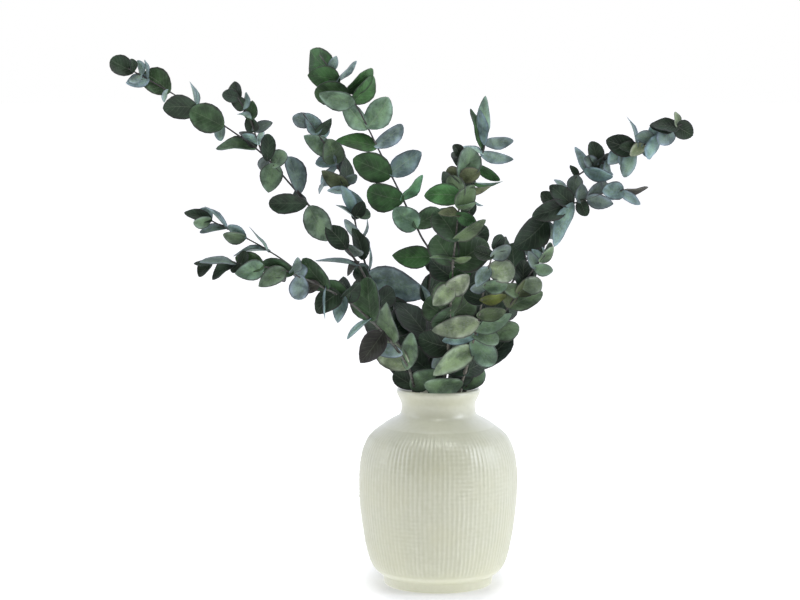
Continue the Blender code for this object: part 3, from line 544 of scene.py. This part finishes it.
def settle_leaf(stem, distance, leaf, tries, obstacles):
    """Lay one leaf with the smallest change that clears it, or leave it out."""
    heading, lean, roll, length, width, tint = leaf
    joined = length < OWN_NODE_LENGTH
    bunch = stem.replace("_twig", "")
    for turn, tip, spin, size in tries:
        place = leaf_place(stem, distance, (heading + turn, lean + tip, roll + spin), joined)
        long, wide = length * size * MM, width * size * MM
        centre = place @ Vector((long / 2, 0, 0))
        near = [o for o in obstacles if (o["middle"] - centre).length < o["reach"] + long]
        whole = leaf_tree(place, long, wide)
        outer = leaf_tree(place, long, wide, SHARED_BASE)
        if not any(leaf_hits(whole, outer, joined, bunch, o) for o in near):
            obstacles.append({"middle": centre, "reach": long, "tree": whole, "outer": outer,
                              "owner": bunch if joined else ""})
            return {"stem": stem, "place": place, "length": long, "width": wide, "roll": roll,
                    "tint": tint, "joined": joined,
                    "wood": stem_radius(stem, distance * MM)}
    return None


def leaf_hits(whole, outer, joined, bunch, obstacle):
    """Leaves joined to one stem may share its wood, so they are only tested further out."""
    if joined and obstacle["owner"] == bunch:
        return bool(obstacle["outer"] and outer.overlap(obstacle["outer"]))
    return bool(whole.overlap(obstacle["tree"]))


def plain_stem_mesh(name):
    """The tube of one stem or twig, with a ring of points at each pair of leaves."""
    outer = OUTER_LINES[name]
    stops = [0, *(row[0] * MM for row in LEAVES[name]), OUTER_LENGTHS[name]]
    distances = [0]
    for before, after in zip(stops, stops[1:]):
        count = math.ceil((after - before) / STEM_STEP)
        distances += [before + (after - before) * (k + 1) / count for k in range(count)]
    line = [point_along(outer, d)[0] for d in distances]
    radii = [stem_radius(name, d) for d in distances]
    if not name.endswith("twig"):
        lower = inner_line(name)
        line = lower + line
        radii = [STEM_THICK] * len(lower) + radii
    tube = model_tube(name + "_guide", line, radii, 1)
    mesh = tube.data
    bpy.data.objects.remove(tube)
    return mesh


def mesh_obstacle(mesh, owner):
    """A stem or the vase as something that leaves must clear."""
    points = [v.co.copy() for v in mesh.vertices]
    middle = sum(points, Vector()) / len(points)
    reach = max((p - middle).length for p in points)
    tree = BVHTree.FromPolygons(points, [tuple(f.vertices) for f in mesh.polygons])
    return {"middle": middle, "reach": reach, "tree": tree, "outer": None, "owner": owner}


# --- working by hand ------------------------------------------------------------------------

def clear_selection():
    """Nothing selected, so that the next step acts only on what it picks."""
    for thing in bpy.context.selected_objects:
        thing.select_set(False)


def take(thing):
    """Make one piece the only selected and active one."""
    clear_selection()
    thing.select_set(True)
    bpy.context.view_layer.objects.active = thing


def edit(thing):
    take(thing)
    bpy.ops.object.mode_set(mode="EDIT")


def leave_edit():
    bpy.ops.object.mode_set(mode="OBJECT")


def pick(thing, test):
    """In edit mode, select the points that pass a test of their place, and nothing else."""
    work = bmesh.from_edit_mesh(thing.data)
    for face in work.faces:
        face.select = False
    for edge in work.edges:
        edge.select = False
    for point in work.verts:
        point.select = bool(test(point.co))
    work.select_flush(True)
    bmesh.update_edit_mesh(thing.data)


def apply_modifiers(thing):
    take(thing)
    for modifier in list(thing.modifiers):
        bpy.ops.object.modifier_apply(modifier=modifier.name)


def merge_doubles(thing, turn_out=False):
    """Merge points that lie on each other and, if asked, turn the faces outwards."""
    edit(thing)
    bpy.ops.mesh.select_all(action="SELECT")
    bpy.ops.mesh.remove_doubles(threshold=MERGE_GAP)
    if turn_out:
        bpy.ops.mesh.normals_make_consistent(inside=False)
    leave_edit()


def join(pieces, name):
    """Several pieces made one, under one name."""
    take(pieces[0])
    for piece in pieces[1:]:
        piece.select_set(True)
    if len(pieces) > 1:
        bpy.ops.object.join()
    pieces[0].name = name
    pieces[0].data.name = name
    return pieces[0]


def write_attribute(mesh, name, values, kind="FLOAT"):
    """Keep a value or a colour on each point of a mesh, for its material to read."""
    layer = mesh.attributes.new(name, kind, "POINT")
    field = "color" if kind == "FLOAT_COLOR" else "value"
    layer.data.foreach_set(field, np.asarray(values, dtype=np.float32).ravel())


# --- finishes -------------------------------------------------------------------------------

class Field:
    """A number that varies over a surface; arithmetic on it adds Math nodes."""

    def __init__(self, nodes, socket):
        self.nodes = nodes
        self.socket = socket

    def math(self, operation, *others):
        return self.nodes.add("ShaderNodeMath", {"operation": operation}, (self, *others))

    def __add__(self, other):
        return self.math("ADD", other)

    def __sub__(self, other):
        return self.math("SUBTRACT", other)

    def __mul__(self, other):
        return self.math("MULTIPLY", other)

    def __pow__(self, other):
        return self.math("POWER", other)

    def __rsub__(self, other):
        return self.nodes.add("ShaderNodeMath", {"operation": "SUBTRACT"}, (other, self))

    __radd__ = __add__
    __rmul__ = __mul__

    def between(self, low, high):
        """0 below low, 1 above high, and smooth from one to the other."""
        return self.nodes.add(
            "ShaderNodeMapRange", {"interpolation_type": "SMOOTHSTEP"},
            {"Value": self, "From Min": low, "From Max": high})


class Nodes:
    """A tree of nodes, added one by one."""

    def __init__(self, tree):
        self.tree = tree

    def plug(self, socket, value):
        """Link a varying value to a socket, or set a constant on it."""
        if isinstance(value, Field):
            self.tree.links.new(value.socket, socket)
        elif isinstance(value, tuple) and len(value) == 3 and socket.type == "RGBA":
            socket.default_value = (*value, 1)
        else:
            socket.default_value = value

    def add(self, kind, settings=None, inputs=(), output=0):
        """One node of a kind, with its settings and the values or links of its sockets."""
        node = self.tree.nodes.new(kind)
        for key, value in (settings or {}).items():
            setattr(node, key, value)
        named = inputs.items() if isinstance(inputs, dict) else enumerate(inputs)
        for key, value in named:
            self.plug(node.inputs[key], value)
        return Field(self, node.outputs[output])

    def mix(self, share, first, second, blend="MIX"):
        return self.add("ShaderNodeMix", {"data_type": "RGBA", "blend_type": blend},
                        {0: share, 6: first, 7: second}, 2)

    def part(self, vector, axis):
        return self.add("ShaderNodeSeparateXYZ", {}, (vector,), axis)


class Finish(Nodes):
    """A material's nodes round its shader."""

    def __init__(self, name):
        self.material = bpy.data.materials.new(name)
        self.material.use_nodes = True
        super().__init__(self.material.node_tree)
        self.shader = self.tree.nodes["Principled BSDF"]

    def place(self):
        return self.add("ShaderNodeTexCoord", output="Object")

    def attribute(self, name, output="Fac"):
        return self.add("ShaderNodeAttribute", {"attribute_name": name}, output=output)

    def noise(self, scale, detail=2, vector=None, distortion=0):
        inputs = {"Vector": vector or self.place(), "Scale": scale, "Detail": detail,
                  "Distortion": distortion}
        return self.add("ShaderNodeTexNoise", {}, inputs)

    def bump(self, height, strength, distance):
        normal = self.add("ShaderNodeBump", {},
                          {"Strength": strength, "Distance": distance, "Height": height},
                          "Normal")
        self.wire(Normal=normal)

    def wire(self, **sockets):
        for name, value in sockets.items():
            self.plug(self.shader.inputs[name.replace("_", " ")], value)


def glaze_finish():
    """Cream satin glaze: paler on the ribs of the relief, darker and warmer in the grooves
    between them.
    """
    finish = Finish("cream_glaze")
    relief = finish.attribute("relief")
    clouds = finish.noise(26, 3)
    mottle = finish.noise(240, 3)
    pores = finish.noise(1500, 2)
    # Darker and warmer where the relief is low, in the grooves, and mottled.
    groove_share = (1 - relief) * 0.55 + (mottle - 0.5) * 0.5
    colour = finish.mix(groove_share.between(0.0, 0.75), (0.612, 0.615, 0.482), (0.500, 0.505, 0.362))
    colour = finish.mix(clouds.between(0.42, 0.72) * 0.5, colour, (0.565, 0.562, 0.395))
    colour = finish.mix(pores.between(0.66, 0.78) * 0.25, colour, (0.42, 0.40, 0.27))
    finish.wire(Base_Color=colour, Roughness=0.34 + clouds * 0.14 + (1 - relief) * 0.1,
                Specular_IOR_Level=0.5, Coat_Weight=0.7, Coat_Roughness=0.3, Coat_IOR=1.7)
    finish.bump(mottle * 0.5 + pores * 0.3, 0.35, 0.0003)
    return finish.material


def bark_finish():
    """Young bark: green-brown low down, purple-brown at the tips, with pale dusty patches."""
    finish = Finish("eucalyptus_bark")
    share = finish.attribute("share")
    tone = finish.attribute("tint", "Color")
    streaks = finish.noise(380, 4, distortion=0.6)
    dust = finish.noise(120, 3)
    colour = finish.mix(streaks.between(0.35, 0.7), tone, (0.030, 0.026, 0.024))
    colour = finish.mix(share.between(0.25, 1.0) * 0.5, colour, (0.055, 0.047, 0.052))
    colour = finish.mix(dust.between(0.5, 0.7) * 0.35, colour, (0.22, 0.23, 0.20))
    finish.wire(Base_Color=colour, Roughness=0.6 + streaks * 0.25)
    finish.bump(streaks, 0.6, 0.0006)
    return finish.material


def leaf_finish():
    """Waxy preserved leaf: the tint of each side is on the mesh, veins run on its own map."""
    finish = Finish("eucalyptus_leaf")
    tint = finish.attribute("tint", "Color")
    under = finish.attribute("under")
    mood = finish.attribute("mood")
    chart = finish.add("ShaderNodeUVMap", {"uv_map": "UVMap"})
    along = finish.part(chart, 0)
    across = (finish.part(chart, 1) - 0.5).math("ABSOLUTE") * 2
    patches = finish.noise(75, 3, distortion=0.4)
    cells = finish.noise(460, 3)
    midrib = 1 - across.between(0.01, 0.05)
    steps = ((along - across * 0.24) * 10 + mood * 3).math("FRACT")
    side_veins = 1 - (steps - 0.5).math("ABSOLUTE").between(0.0, 0.09)
    side_veins = side_veins * (1 - across.between(0.55, 0.95))
    net = 1 - finish.add("ShaderNodeTexVoronoi", {"feature": "DISTANCE_TO_EDGE"},
                         {"Vector": finish.place(), "Scale": 520}, "Distance").between(0.0, 0.12)
    margin = across.between(0.80, 0.97)
    heart = 1 - (across * across + ((along - 0.45) * 1.7) ** 2).between(0.05, 0.95)
    bloom = (patches + (cells - 0.5) * 0.45 + (mood - 0.5) * 0.25).between(0.42, 0.78)
    shade = finish.mix(patches.between(0.32, 0.68), (0.45, 0.48, 0.44), (1.25, 1.22, 1.22))
    colour = finish.mix(1.0, tint, shade, "MULTIPLY")
    deep = finish.mix(1.0, colour, (0.62, 0.74, 0.42), "MULTIPLY")
    colour = finish.mix(heart * (patches + cells).between(0.7, 1.15) * 0.75, colour, deep)
    dusty = finish.mix(1.0, colour, (1.5, 1.45, 1.6), "MULTIPLY")
    dusty = finish.mix(0.10, dusty, (0.25, 0.32, 0.30))
    colour = finish.mix(bloom * 0.55, colour, dusty)
    colour = finish.mix(net * 0.16, colour, (0.015, 0.022, 0.016))
    colour = finish.mix(side_veins * (0.10 + under * 0.2), colour, (0.32, 0.38, 0.30))
    colour = finish.mix(midrib * (0.12 + under * 0.2), colour, (0.34, 0.40, 0.28))
    colour = finish.mix(margin * (0.72 - under * 0.3), colour, (0.028, 0.022, 0.024))
    finish.wire(Base_Color=colour, Roughness=0.36 + cells * 0.16 + bloom * 0.14,
                Specular_IOR_Level=0.3, Sheen_Weight=0.05, Sheen_Roughness=0.45)
    finish.bump(cells * 0.35 + net * 0.25 + midrib * 0.9 + side_veins * 0.5, 0.5, 0.0005)
    return finish.material


# --- vase -----------------------------------------------------------------------------------

def even_steps(line, step_at):
    """Points along a line, as far apart as step_at says for each place."""
    total = line_length(line)
    distance = 0
    points = [line[0]]
    while True:
        distance += step_at(points[-1])
        if distance >= total - 0.4 * MM:
            break
        points.append(point_along(line, distance)[0])
    return [*points, line[-1]]


def vase_section():
    """Half the vase's section, from the middle of its inner floor over the lip to the foot."""
    outside = [Vector((r, 0, h)) * MM for r, h in VASE_OUTSIDE]
    inside = []
    for before, here, after in zip(outside, outside[1:], outside[2:]):
        run = (after - before).normalized()
        point = here + Vector((run.z, 0, -run.x)) * VASE_WALL
        if VASE_FLOOR + VASE_WALL < point.z < VASE_INSIDE_TOP * MM:
            inside.append(point)
    floor_edge = Vector((inside[-1].x - VASE_WALL, 0, VASE_FLOOR))
    inner = [Vector((0, 0, VASE_FLOOR)), floor_edge, *smooth_line(inside[::-1], 2)]

    def row(point):
        if RELIEF_FOOT - RELIEF_MARGIN < point.z < RELIEF_TOP + RELIEF_MARGIN:
            return RELIEF_ROW
        return NECK_ROW if point.z > VASE_SHOULDER else PLAIN_ROW

    lip = inner[-1].lerp(outside[0], 0.5) + Vector((0, 0, LIP_RISE))
    wall = even_steps(smooth_line(outside[:-1], VASE_BEND_STEPS), row)
    foot_edge = outside[-1]
    return [*inner, lip, *wall, foot_edge + Vector((0, 0, FOOT_BEVEL)),
            foot_edge - Vector((FOOT_BEVEL, 0, 0)), Vector((FOOT_RING, 0, 0)), Vector()]


def relief_at(turn, height, run):
    """How far the woven relief stands out, 0 to 1: upright ribs crossed by level ones."""
    fade = min(max((RELIEF_TOP - height) / RELIEF_TOP_FADE, 0), 1)
    fade *= min(max((height - RELIEF_FOOT) / RELIEF_FOOT_FADE, 0), 1)
    here = Vector((math.cos(turn) * 2.6, math.sin(turn) * 2.6, height * 26))
    patch = noise.noise(here)
    rough = noise.noise(here * 5.5)
    upright = 0.5 + 0.5 * math.cos(turn * RIBS + 0.9 * noise.noise(here * 1.7))
    level = 0.5 + 0.5 * math.cos(2 * math.pi * run / CROSS_RIB + 0.8 * rough)
    leaning = min(max(0.90 + 1.0 * patch, 0.25), 1)
    band = 0.5 + 0.5 * noise.noise(Vector((turn * 11, height * 9, 3)))
    worn = 0.5 + 0.5 * noise.noise(Vector((turn * 2.2, height * 17, 8)))
    woven = leaning * upright * (0.76 + 0.24 * level) + (1 - leaning) * level * 0.55
    return fade * woven * (0.25 + 0.45 * rough + 0.60 * band + 0.55 * worn), fade


def model_vase(glaze):
    """Turn the section round, then press the woven relief into the wall."""
    section = vase_section()
    bpy.ops.mesh.primitive_plane_add(size=MM, location=section[0])
    vase = bpy.context.object
    bpy.ops.object.transform_apply(location=True)
    bpy.ops.object.mode_set(mode="EDIT")
    bpy.ops.mesh.select_all(action="SELECT")
    bpy.ops.mesh.merge(type="CENTER")
    for before, after in zip(section, section[1:]):
        bpy.ops.mesh.extrude_region_move(TRANSFORM_OT_translate={"value": after - before})
    bpy.ops.mesh.select_all(action="SELECT")
    bpy.ops.mesh.spin(steps=RIBS * RIB_SPANS, angle=2 * math.pi, center=(0, 0, 0),
                      axis=(0, 0, 1))
    leave_edit()
    merge_doubles(vase, turn_out=True)
    press_relief(vase.data)
    take(vase)
    bpy.ops.object.shade_smooth()
    vase.name = vase.data.name = "woven_vase"
    vase.data.materials.append(glaze)
    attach(vase, "root")
    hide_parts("vase")


def press_relief(mesh):
    """Move each point of the outer wall square out of it by the relief there."""
    outside = [Vector((r, 0, h)) * MM for r, h in VASE_OUTSIDE]
    wall = smooth_line(outside, VASE_BEND_STEPS)[::-1]
    heights = [p.z for p in wall]
    runs = [0]
    for a, b in zip(wall, wall[1:]):
        runs.append(runs[-1] + (b - a).length)
    slopes = [(b - a).normalized() for a, b in zip(wall, wall[1:])]
    slopes.append(slopes[-1])
    radii = [p.x for p in wall]
    relief = []
    for point in mesh.vertices:
        spot = point.co
        reach = math.hypot(spot.x, spot.y)
        wall_reach = float(np.interp(spot.z, heights, radii))
        if reach < wall_reach - WALL_SKIN or not FOOT_RIM < spot.z < LIP_RIM:
            relief.append(PLAIN_TONE)
            continue
        turn = math.atan2(spot.y, spot.x)
        run = float(np.interp(spot.z, heights, runs))
        raised, fade = relief_at(turn, spot.z, run)
        slope = slopes[min(int(np.searchsorted(heights, spot.z)), len(slopes) - 1)]
        out = Vector((math.cos(turn) * slope.z, math.sin(turn) * slope.z, -slope.x))
        above = spot.z - RELIEF_TOP - RELIEF_MARGIN
        ring = RING_HEIGHT * math.exp(-(above / RING_HALF_WIDTH) ** 2)
        point.co = spot + out * (RELIEF_DEPTH * (raised - 0.5 * fade) + ring)
        relief.append(raised if fade > 0 else PLAIN_WALL_TONE)
    write_attribute(mesh, "relief", relief)


# --- stems ----------------------------------------------------------------------------------

def model_tube(name, line, radii, roundness):
    """A tapering round tube along a line, drawn as a curve with thickness, then meshed."""
    bpy.ops.curve.primitive_nurbs_path_add()
    tube = bpy.context.object
    tube.matrix_world = Matrix.Identity(4)
    curve = tube.data
    curve.splines.clear()
    spline = curve.splines.new("POLY")
    spline.points.add(len(line) - 1)
    for point, place, radius in zip(spline.points, line, radii):
        point.co = (*place, 1)
        point.radius = radius
    curve.bevel_depth = 1
    curve.bevel_resolution = roundness
    curve.use_fill_caps = True
    take(tube)
    bpy.ops.object.convert(target="MESH")
    tube = bpy.context.object
    tube.name = tube.data.name = name
    merge_doubles(tube)
    return tube


def knot_swell(name, distance):
    """How much thicker the wood is near a pair of leaves."""
    nearest = min(abs(distance - row[0] * MM) for row in LEAVES[name])
    return WOOD_SLIMNESS + KNOT_SWELL * math.exp(-(nearest / KNOT_REACH) ** 2)


def model_wood(bunch, bark):
    """One branch's stem, and its twig if it has one, with a swelling at each pair."""
    tubes = []
    for name in (bunch, bunch + "_twig"):
        if name not in ROUTES:
            continue
        outer = OUTER_LINES[name]
        total = OUTER_LENGTHS[name]
        distances = list(np.arange(0, total, RING_STEP)) + [row[0] * MM for row in LEAVES[name]]
        distances = sorted({round(min(float(d), total), 5) for d in distances} | {total})
        spots = [(point_along(outer, d)[0], stem_radius(name, d) * knot_swell(name, d),
                  MOUTH_SHARE + (1 - MOUTH_SHARE) * d / total) for d in distances]
        if name == bunch:
            lower = [(p, STEM_THICK, 0.0) for p in inner_line(name)]
            spots = lower + spots
        line = [Vector(spot[0]) for spot in spots]
        for k, point in enumerate(line[1:-1], 1):
            sway = noise.noise_vector(point * 90) * SWAY
            line[k] = point + Vector((sway.x, sway.y, 0))
        tube = model_tube(name + "_wood", line, [spot[1] for spot in spots], 2)
        shade_by_share(tube.data, line, [spot[2] for spot in spots], bunch)
        tubes.append(tube)
    wood = join(tubes, bunch + "_wood")
    take(wood)
    bpy.ops.object.shade_smooth()
    wood.data.materials.append(bark)
    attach(wood, "root")
    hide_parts(bunch + "_stem")


def shade_by_share(mesh, line, shares, bunch):
    """Each point of a tube knows how far along the stem it sits, and the tone given to its stem.
    """
    line = np.array(line)
    points = np.empty(len(mesh.vertices) * 3, dtype=np.float32)
    mesh.vertices.foreach_get("co", points)
    gaps = ((points.reshape(-1, 1, 3) - line[None]) ** 2).sum(2)
    write_attribute(mesh, "share", np.array(shares)[gaps.argmin(1)])
    write_attribute(mesh, "tint", [(*BARK_TONES[bunch], 1)] * len(mesh.vertices), "FLOAT_COLOR")


# --- leaves ---------------------------------------------------------------------------------

def model_leaf_form(name, stations, cup, arch, crease):
    """One leaf, a unit long and a unit wide: cut to its outline, cupped, arched and creased."""
    bpy.ops.mesh.primitive_grid_add(x_subdivisions=LEAF_SPANS, y_subdivisions=LEAF_BANDS,
                                    size=1, location=(0.5, 0, 0))
    leaf = bpy.context.object
    bpy.ops.object.transform_apply(location=True)
    leaf.name = name
    edit(leaf)
    for side, lift in ((0.5, cup), (0.25, cup / 4), (0, -crease)):
        pick(leaf, lambda p: abs(abs(p.y) - side) < 0.01)
        bpy.ops.transform.translate(value=(0, 0, lift))
    # Each row of points is set aside once it is shaped, so that no later pick meets it.
    for k, (along, width) in enumerate(stations):
        place = k / LEAF_SPANS
        pick(leaf, lambda p: abs(p.x - place) < 0.001)
        bpy.ops.transform.resize(value=(1, width, width * width),
                                 center_override=(place, 0, 0))
        shift = along - place + SET_ASIDE
        bpy.ops.transform.translate(value=(shift, 0, -arch * along * along))
    bpy.ops.mesh.select_all(action="SELECT")
    bpy.ops.transform.translate(value=(-SET_ASIDE, 0, 0))
    leave_edit()
    wall = leaf.modifiers.new("thickness", "SOLIDIFY")
    wall.thickness = SHEET_THICKNESS
    wall.offset = 0
    apply_modifiers(leaf)
    take(leaf)
    bpy.ops.object.shade_smooth_by_angle(angle=math.radians(45))
    leaf.hide_render = True
    return leaf


def stand_out(rng):
    """The small ways in which one leaf differs from its form."""
    return {"twist": rng.uniform(-0.28, 0.28), "cup": rng.uniform(-0.4, 0.6),
            "curl": rng.uniform(-0.25, 0.55), "wave": rng.uniform(0, 0.06),
            "phase": rng.uniform(0, 6.28), "sweep": rng.uniform(-0.12, 0.12)}


def shape_leaf(points, ways):
    """Bend a unit leaf's points by its own small ways."""
    x, y, z = points[:, 0], points[:, 1].copy(), points[:, 2].copy()
    z += ways["cup"] * y * y - ways["curl"] * np.clip(x - 0.5, 0, 1) ** 2
    z += ways["wave"] * np.sin(9 * x + ways["phase"]) * np.abs(y) * 2
    y += ways["sweep"] * x * (1 - x) * 2
    turn = ways["twist"] * x
    points[:, 1] = y * np.cos(turn) - z * np.sin(turn)
    points[:, 2] = y * np.sin(turn) + z * np.cos(turn)
    return points


def side_tints(tint, roll, rng):
    """Colours of the upper side and the underside; the list names the side that shows."""
    shown = np.array(TINTS[tint]) * rng.uniform(0.82, 1.2)
    shown *= np.array([rng.uniform(0.93, 1.07), 1, rng.uniform(0.93, 1.07)])
    # Painted light: the more nearly edge-on a leaf stands to the front, the lighter its colour is
    # made.
    shown *= 1 + 0.7 * abs(math.sin(math.radians(roll))) ** 4
    if 90 < roll % 360 < 270:
        return shown * 0.4, shown
    pale = np.array(UNDERSIDE)
    return shown, shown * 0.4 + pale * 0.6


def model_leaf(name, form, facts, rng):
    """A copy of a form, bent in its own way, at its size and in its place."""
    length, width, place = facts["length"], facts["width"], facts["place"]
    mesh = form.data.copy()
    mesh.name = name
    count = len(mesh.vertices)
    points = np.empty(count * 3, dtype=np.float32)
    mesh.vertices.foreach_get("co", points)
    points = shape_leaf(points.reshape(-1, 3).astype(float), stand_out(rng))
    base = np.clip(1 - points[:, 0] / CLASP_SHARE, 0, 1.2) ** 2
    points *= (length, width, math.sqrt(length * width))
    points[:, 0] -= base * CLASP * facts["wood"]
    turned = points @ np.array(place.to_3x3()).T + np.array(place.translation)
    front = -1 if place.col[0].y < 0.1 else 1
    turned[:, 1] += base * front * CLASP_LIFT * facts["wood"]
    mesh.vertices.foreach_set("co", turned.ravel().astype(np.float32))
    upper, lower = side_tints(facts["tint"], facts["roll"], rng)
    under = np.zeros(count)
    under[count // 2:] = 1
    tints = np.where(under[:, None] > 0.5, lower, upper)
    write_attribute(mesh, "tint", np.hstack([tints, np.ones((count, 1))]), "FLOAT_COLOR")
    write_attribute(mesh, "under", under)
    write_attribute(mesh, "mood", np.full(count, rng.random()))
    leaf = bpy.data.objects.new(name, mesh)
    bpy.context.scene.collection.objects.link(leaf)
    return leaf


def lay_foliage(laid, forms, leaf_material):
    """Every leaf in its place: the large ones as pieces, the small ones as one spray a branch."""
    rng = random.Random(FOLIAGE_SEED)
    counts = {}
    sprays = {}
    for facts in laid:
        bunch = facts["stem"].replace("_twig", "")
        counts[bunch] = counts.get(bunch, 0) + 1
        name = f"{bunch}_leaf_{counts[bunch]:02d}"
        form = choose_form(forms, facts["length"], facts["width"], rng)
        leaf = model_leaf(name, form, facts, rng)
        if facts["joined"]:
            sprays.setdefault(bunch, []).append(leaf)
            continue
        leaf.name = leaf.data.name = name + "_blade"
        finish_leaf_piece(leaf, name, leaf_material)
    for bunch, leaves in sprays.items():
        finish_leaf_piece(join(leaves, bunch + "_small_leaves"), bunch + "_stem",
                          leaf_material)


def choose_form(forms, length, width, rng):
    """One of the forms that suit a leaf's share of width to length."""
    share = width / length
    kind = "round" if share > 0.86 else "ovate" if share > 0.6 else "long"
    return rng.choice([form for name, form in forms.items() if name.startswith(kind)])


def finish_leaf_piece(piece, node, material):
    """Give a blade or a spray its finish and its place in the frame."""
    piece.data.materials.append(material)
    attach(piece, "root")
    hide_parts(node)


# --- the room -------------------------------------------------------------------------------

def make_floor():
    """A plain pale floor, so wide that no edge of it shows, with a painted shadow round the foot.
    """
    bpy.ops.mesh.primitive_circle_add(vertices=64, radius=FLOOR_RADIUS, fill_type="NGON",
                                      location=(0, 0, -FLOOR_DROP))
    floor = bpy.context.object
    floor.name = floor.data.name = "floor"
    finish = Finish("white_floor")
    across = finish.part(finish.place(), 0)
    deep = finish.part(finish.place(), 1) * FOOT_SHADE_DRAWN_OUT
    away = (across * across + deep * deep).math("SQRT").between(*FOOT_SHADE)
    unseen = 1 - finish.add("ShaderNodeLightPath", output="Is Camera Ray")
    # Painted shadow: near the foot the floor's glow is dimmed, for camera rays only.
    glow_with_painted_shadow = finish.mix(away + unseen, (0.30, 0.30, 0.31), (1.0, 1.0, 1.0))
    finish.wire(Base_Color=(0.72, 0.72, 0.72), Roughness=0.8, Specular_IOR_Level=0.2,
                Emission_Color=glow_with_painted_shadow, Emission_Strength=0.74)
    floor.data.materials.append(finish.material)


def make_room_light():
    """White all round and above; from the side the room looks from it is dimmer and warmer."""
    world = bpy.data.worlds.new("white_room")
    bpy.context.scene.world = world
    world.use_nodes = True
    world.node_tree.nodes.clear()
    room = Nodes(world.node_tree)
    depth = room.part(room.add("ShaderNodeTexCoord", output="Generated"), 1)

    def ramp(start, end, low=0, high=1):
        return room.add("ShaderNodeMapRange", {}, {"Value": depth, "From Min": start,
                                                   "From Max": end, "To Min": low,
                                                   "To Max": high})

    mirrored = ramp(-0.2, 0.6) * room.add("ShaderNodeLightPath", output="Is Glossy Ray")
    strength = ramp(-0.95, 0.1, 0.05, 0.58) + mirrored
    tone = room.mix(ramp(-0.95, -0.1), (1.0, 0.98, 0.82), (0.86, 0.89, 1.0))
    light = room.add("ShaderNodeBackground", {}, {"Color": tone, "Strength": strength})
    white = room.add("ShaderNodeBackground", {}, {"Color": (1.0, 1.0, 1.0), "Strength": 1})
    seen = room.add("ShaderNodeLightPath", output="Is Camera Ray")
    mixed = room.add("ShaderNodeMixShader", {}, (seen, light, white))
    out = room.tree.nodes.new("ShaderNodeOutputWorld")
    room.plug(out.inputs["Surface"], mixed)


def add_light(name, size, place, target, watts, colour):
    """A softbox turned towards a point."""
    bpy.ops.object.light_add(type="AREA", location=place)
    light = bpy.context.object
    light.name = light.data.name = name
    light.data.shape = "RECTANGLE"
    light.data.size, light.data.size_y = size
    light.data.energy = watts
    light.data.color = colour
    light.rotation_euler = (Vector(target) - Vector(place)).to_track_quat("-Z", "Y").to_euler()


def add_camera():
    """Straight in front of the bunch and a little above it."""
    tilt = math.radians(CAMERA_TILT)
    back = Vector((0, -math.cos(tilt), math.sin(tilt))) * CAMERA_DISTANCE
    bpy.ops.object.camera_add(location=Vector(CAMERA_AIM) + back,
                              rotation=(math.pi / 2 - tilt, 0, 0))
    camera = bpy.context.object
    camera.name = camera.data.name = "camera"
    camera.data.lens = CAMERA_LENS
    camera.data.sensor_width = 36
    camera.data.clip_end = 100
    bpy.context.scene.camera = camera


def light_room():
    """Two cool softboxes at the sides and a warmer one above."""
    cool, warm = (0.86, 0.89, 1.0), (1.0, 1.0, 0.97)
    add_light("left_softbox", (0.9, 1.4), (-1.9, -0.3, 1.0), (0, 0, 0.3), 10, cool)
    add_light("right_softbox", (0.9, 1.4), (1.9, -0.6, 1.1), (0, 0, 0.3), 23, cool)
    add_light("top_softbox", (1.0, 1.0), (0.1, -0.5, 2.1), (0, 0, 0.2), 13, warm)
    make_room_light()


# --- everything in order --------------------------------------------------------------------

def main():
    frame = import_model()
    clear_selection()
    bpy.context.scene.view_settings.view_transform = "Standard"
    add_camera()
    light_room()
    make_floor()

    obstacles = [mesh_obstacle(plain_stem_mesh(name), name.replace("_twig", ""))
                 for name in ROUTES]
    obstacles.append(mesh_obstacle(frame["nodes"]["vase"].data, "vase"))
    laid = settle_leaves(obstacles)

    model_vase(glaze_finish())
    bark = bark_finish()
    for bunch in BARK_TONES:
        model_wood(bunch, bark)
    forms = {name: model_leaf_form(name, *facts) for name, facts in LEAF_FORMS.items()}
    lay_foliage(laid, forms, leaf_finish())
    for form in forms.values():
        bpy.data.objects.remove(form)


main()
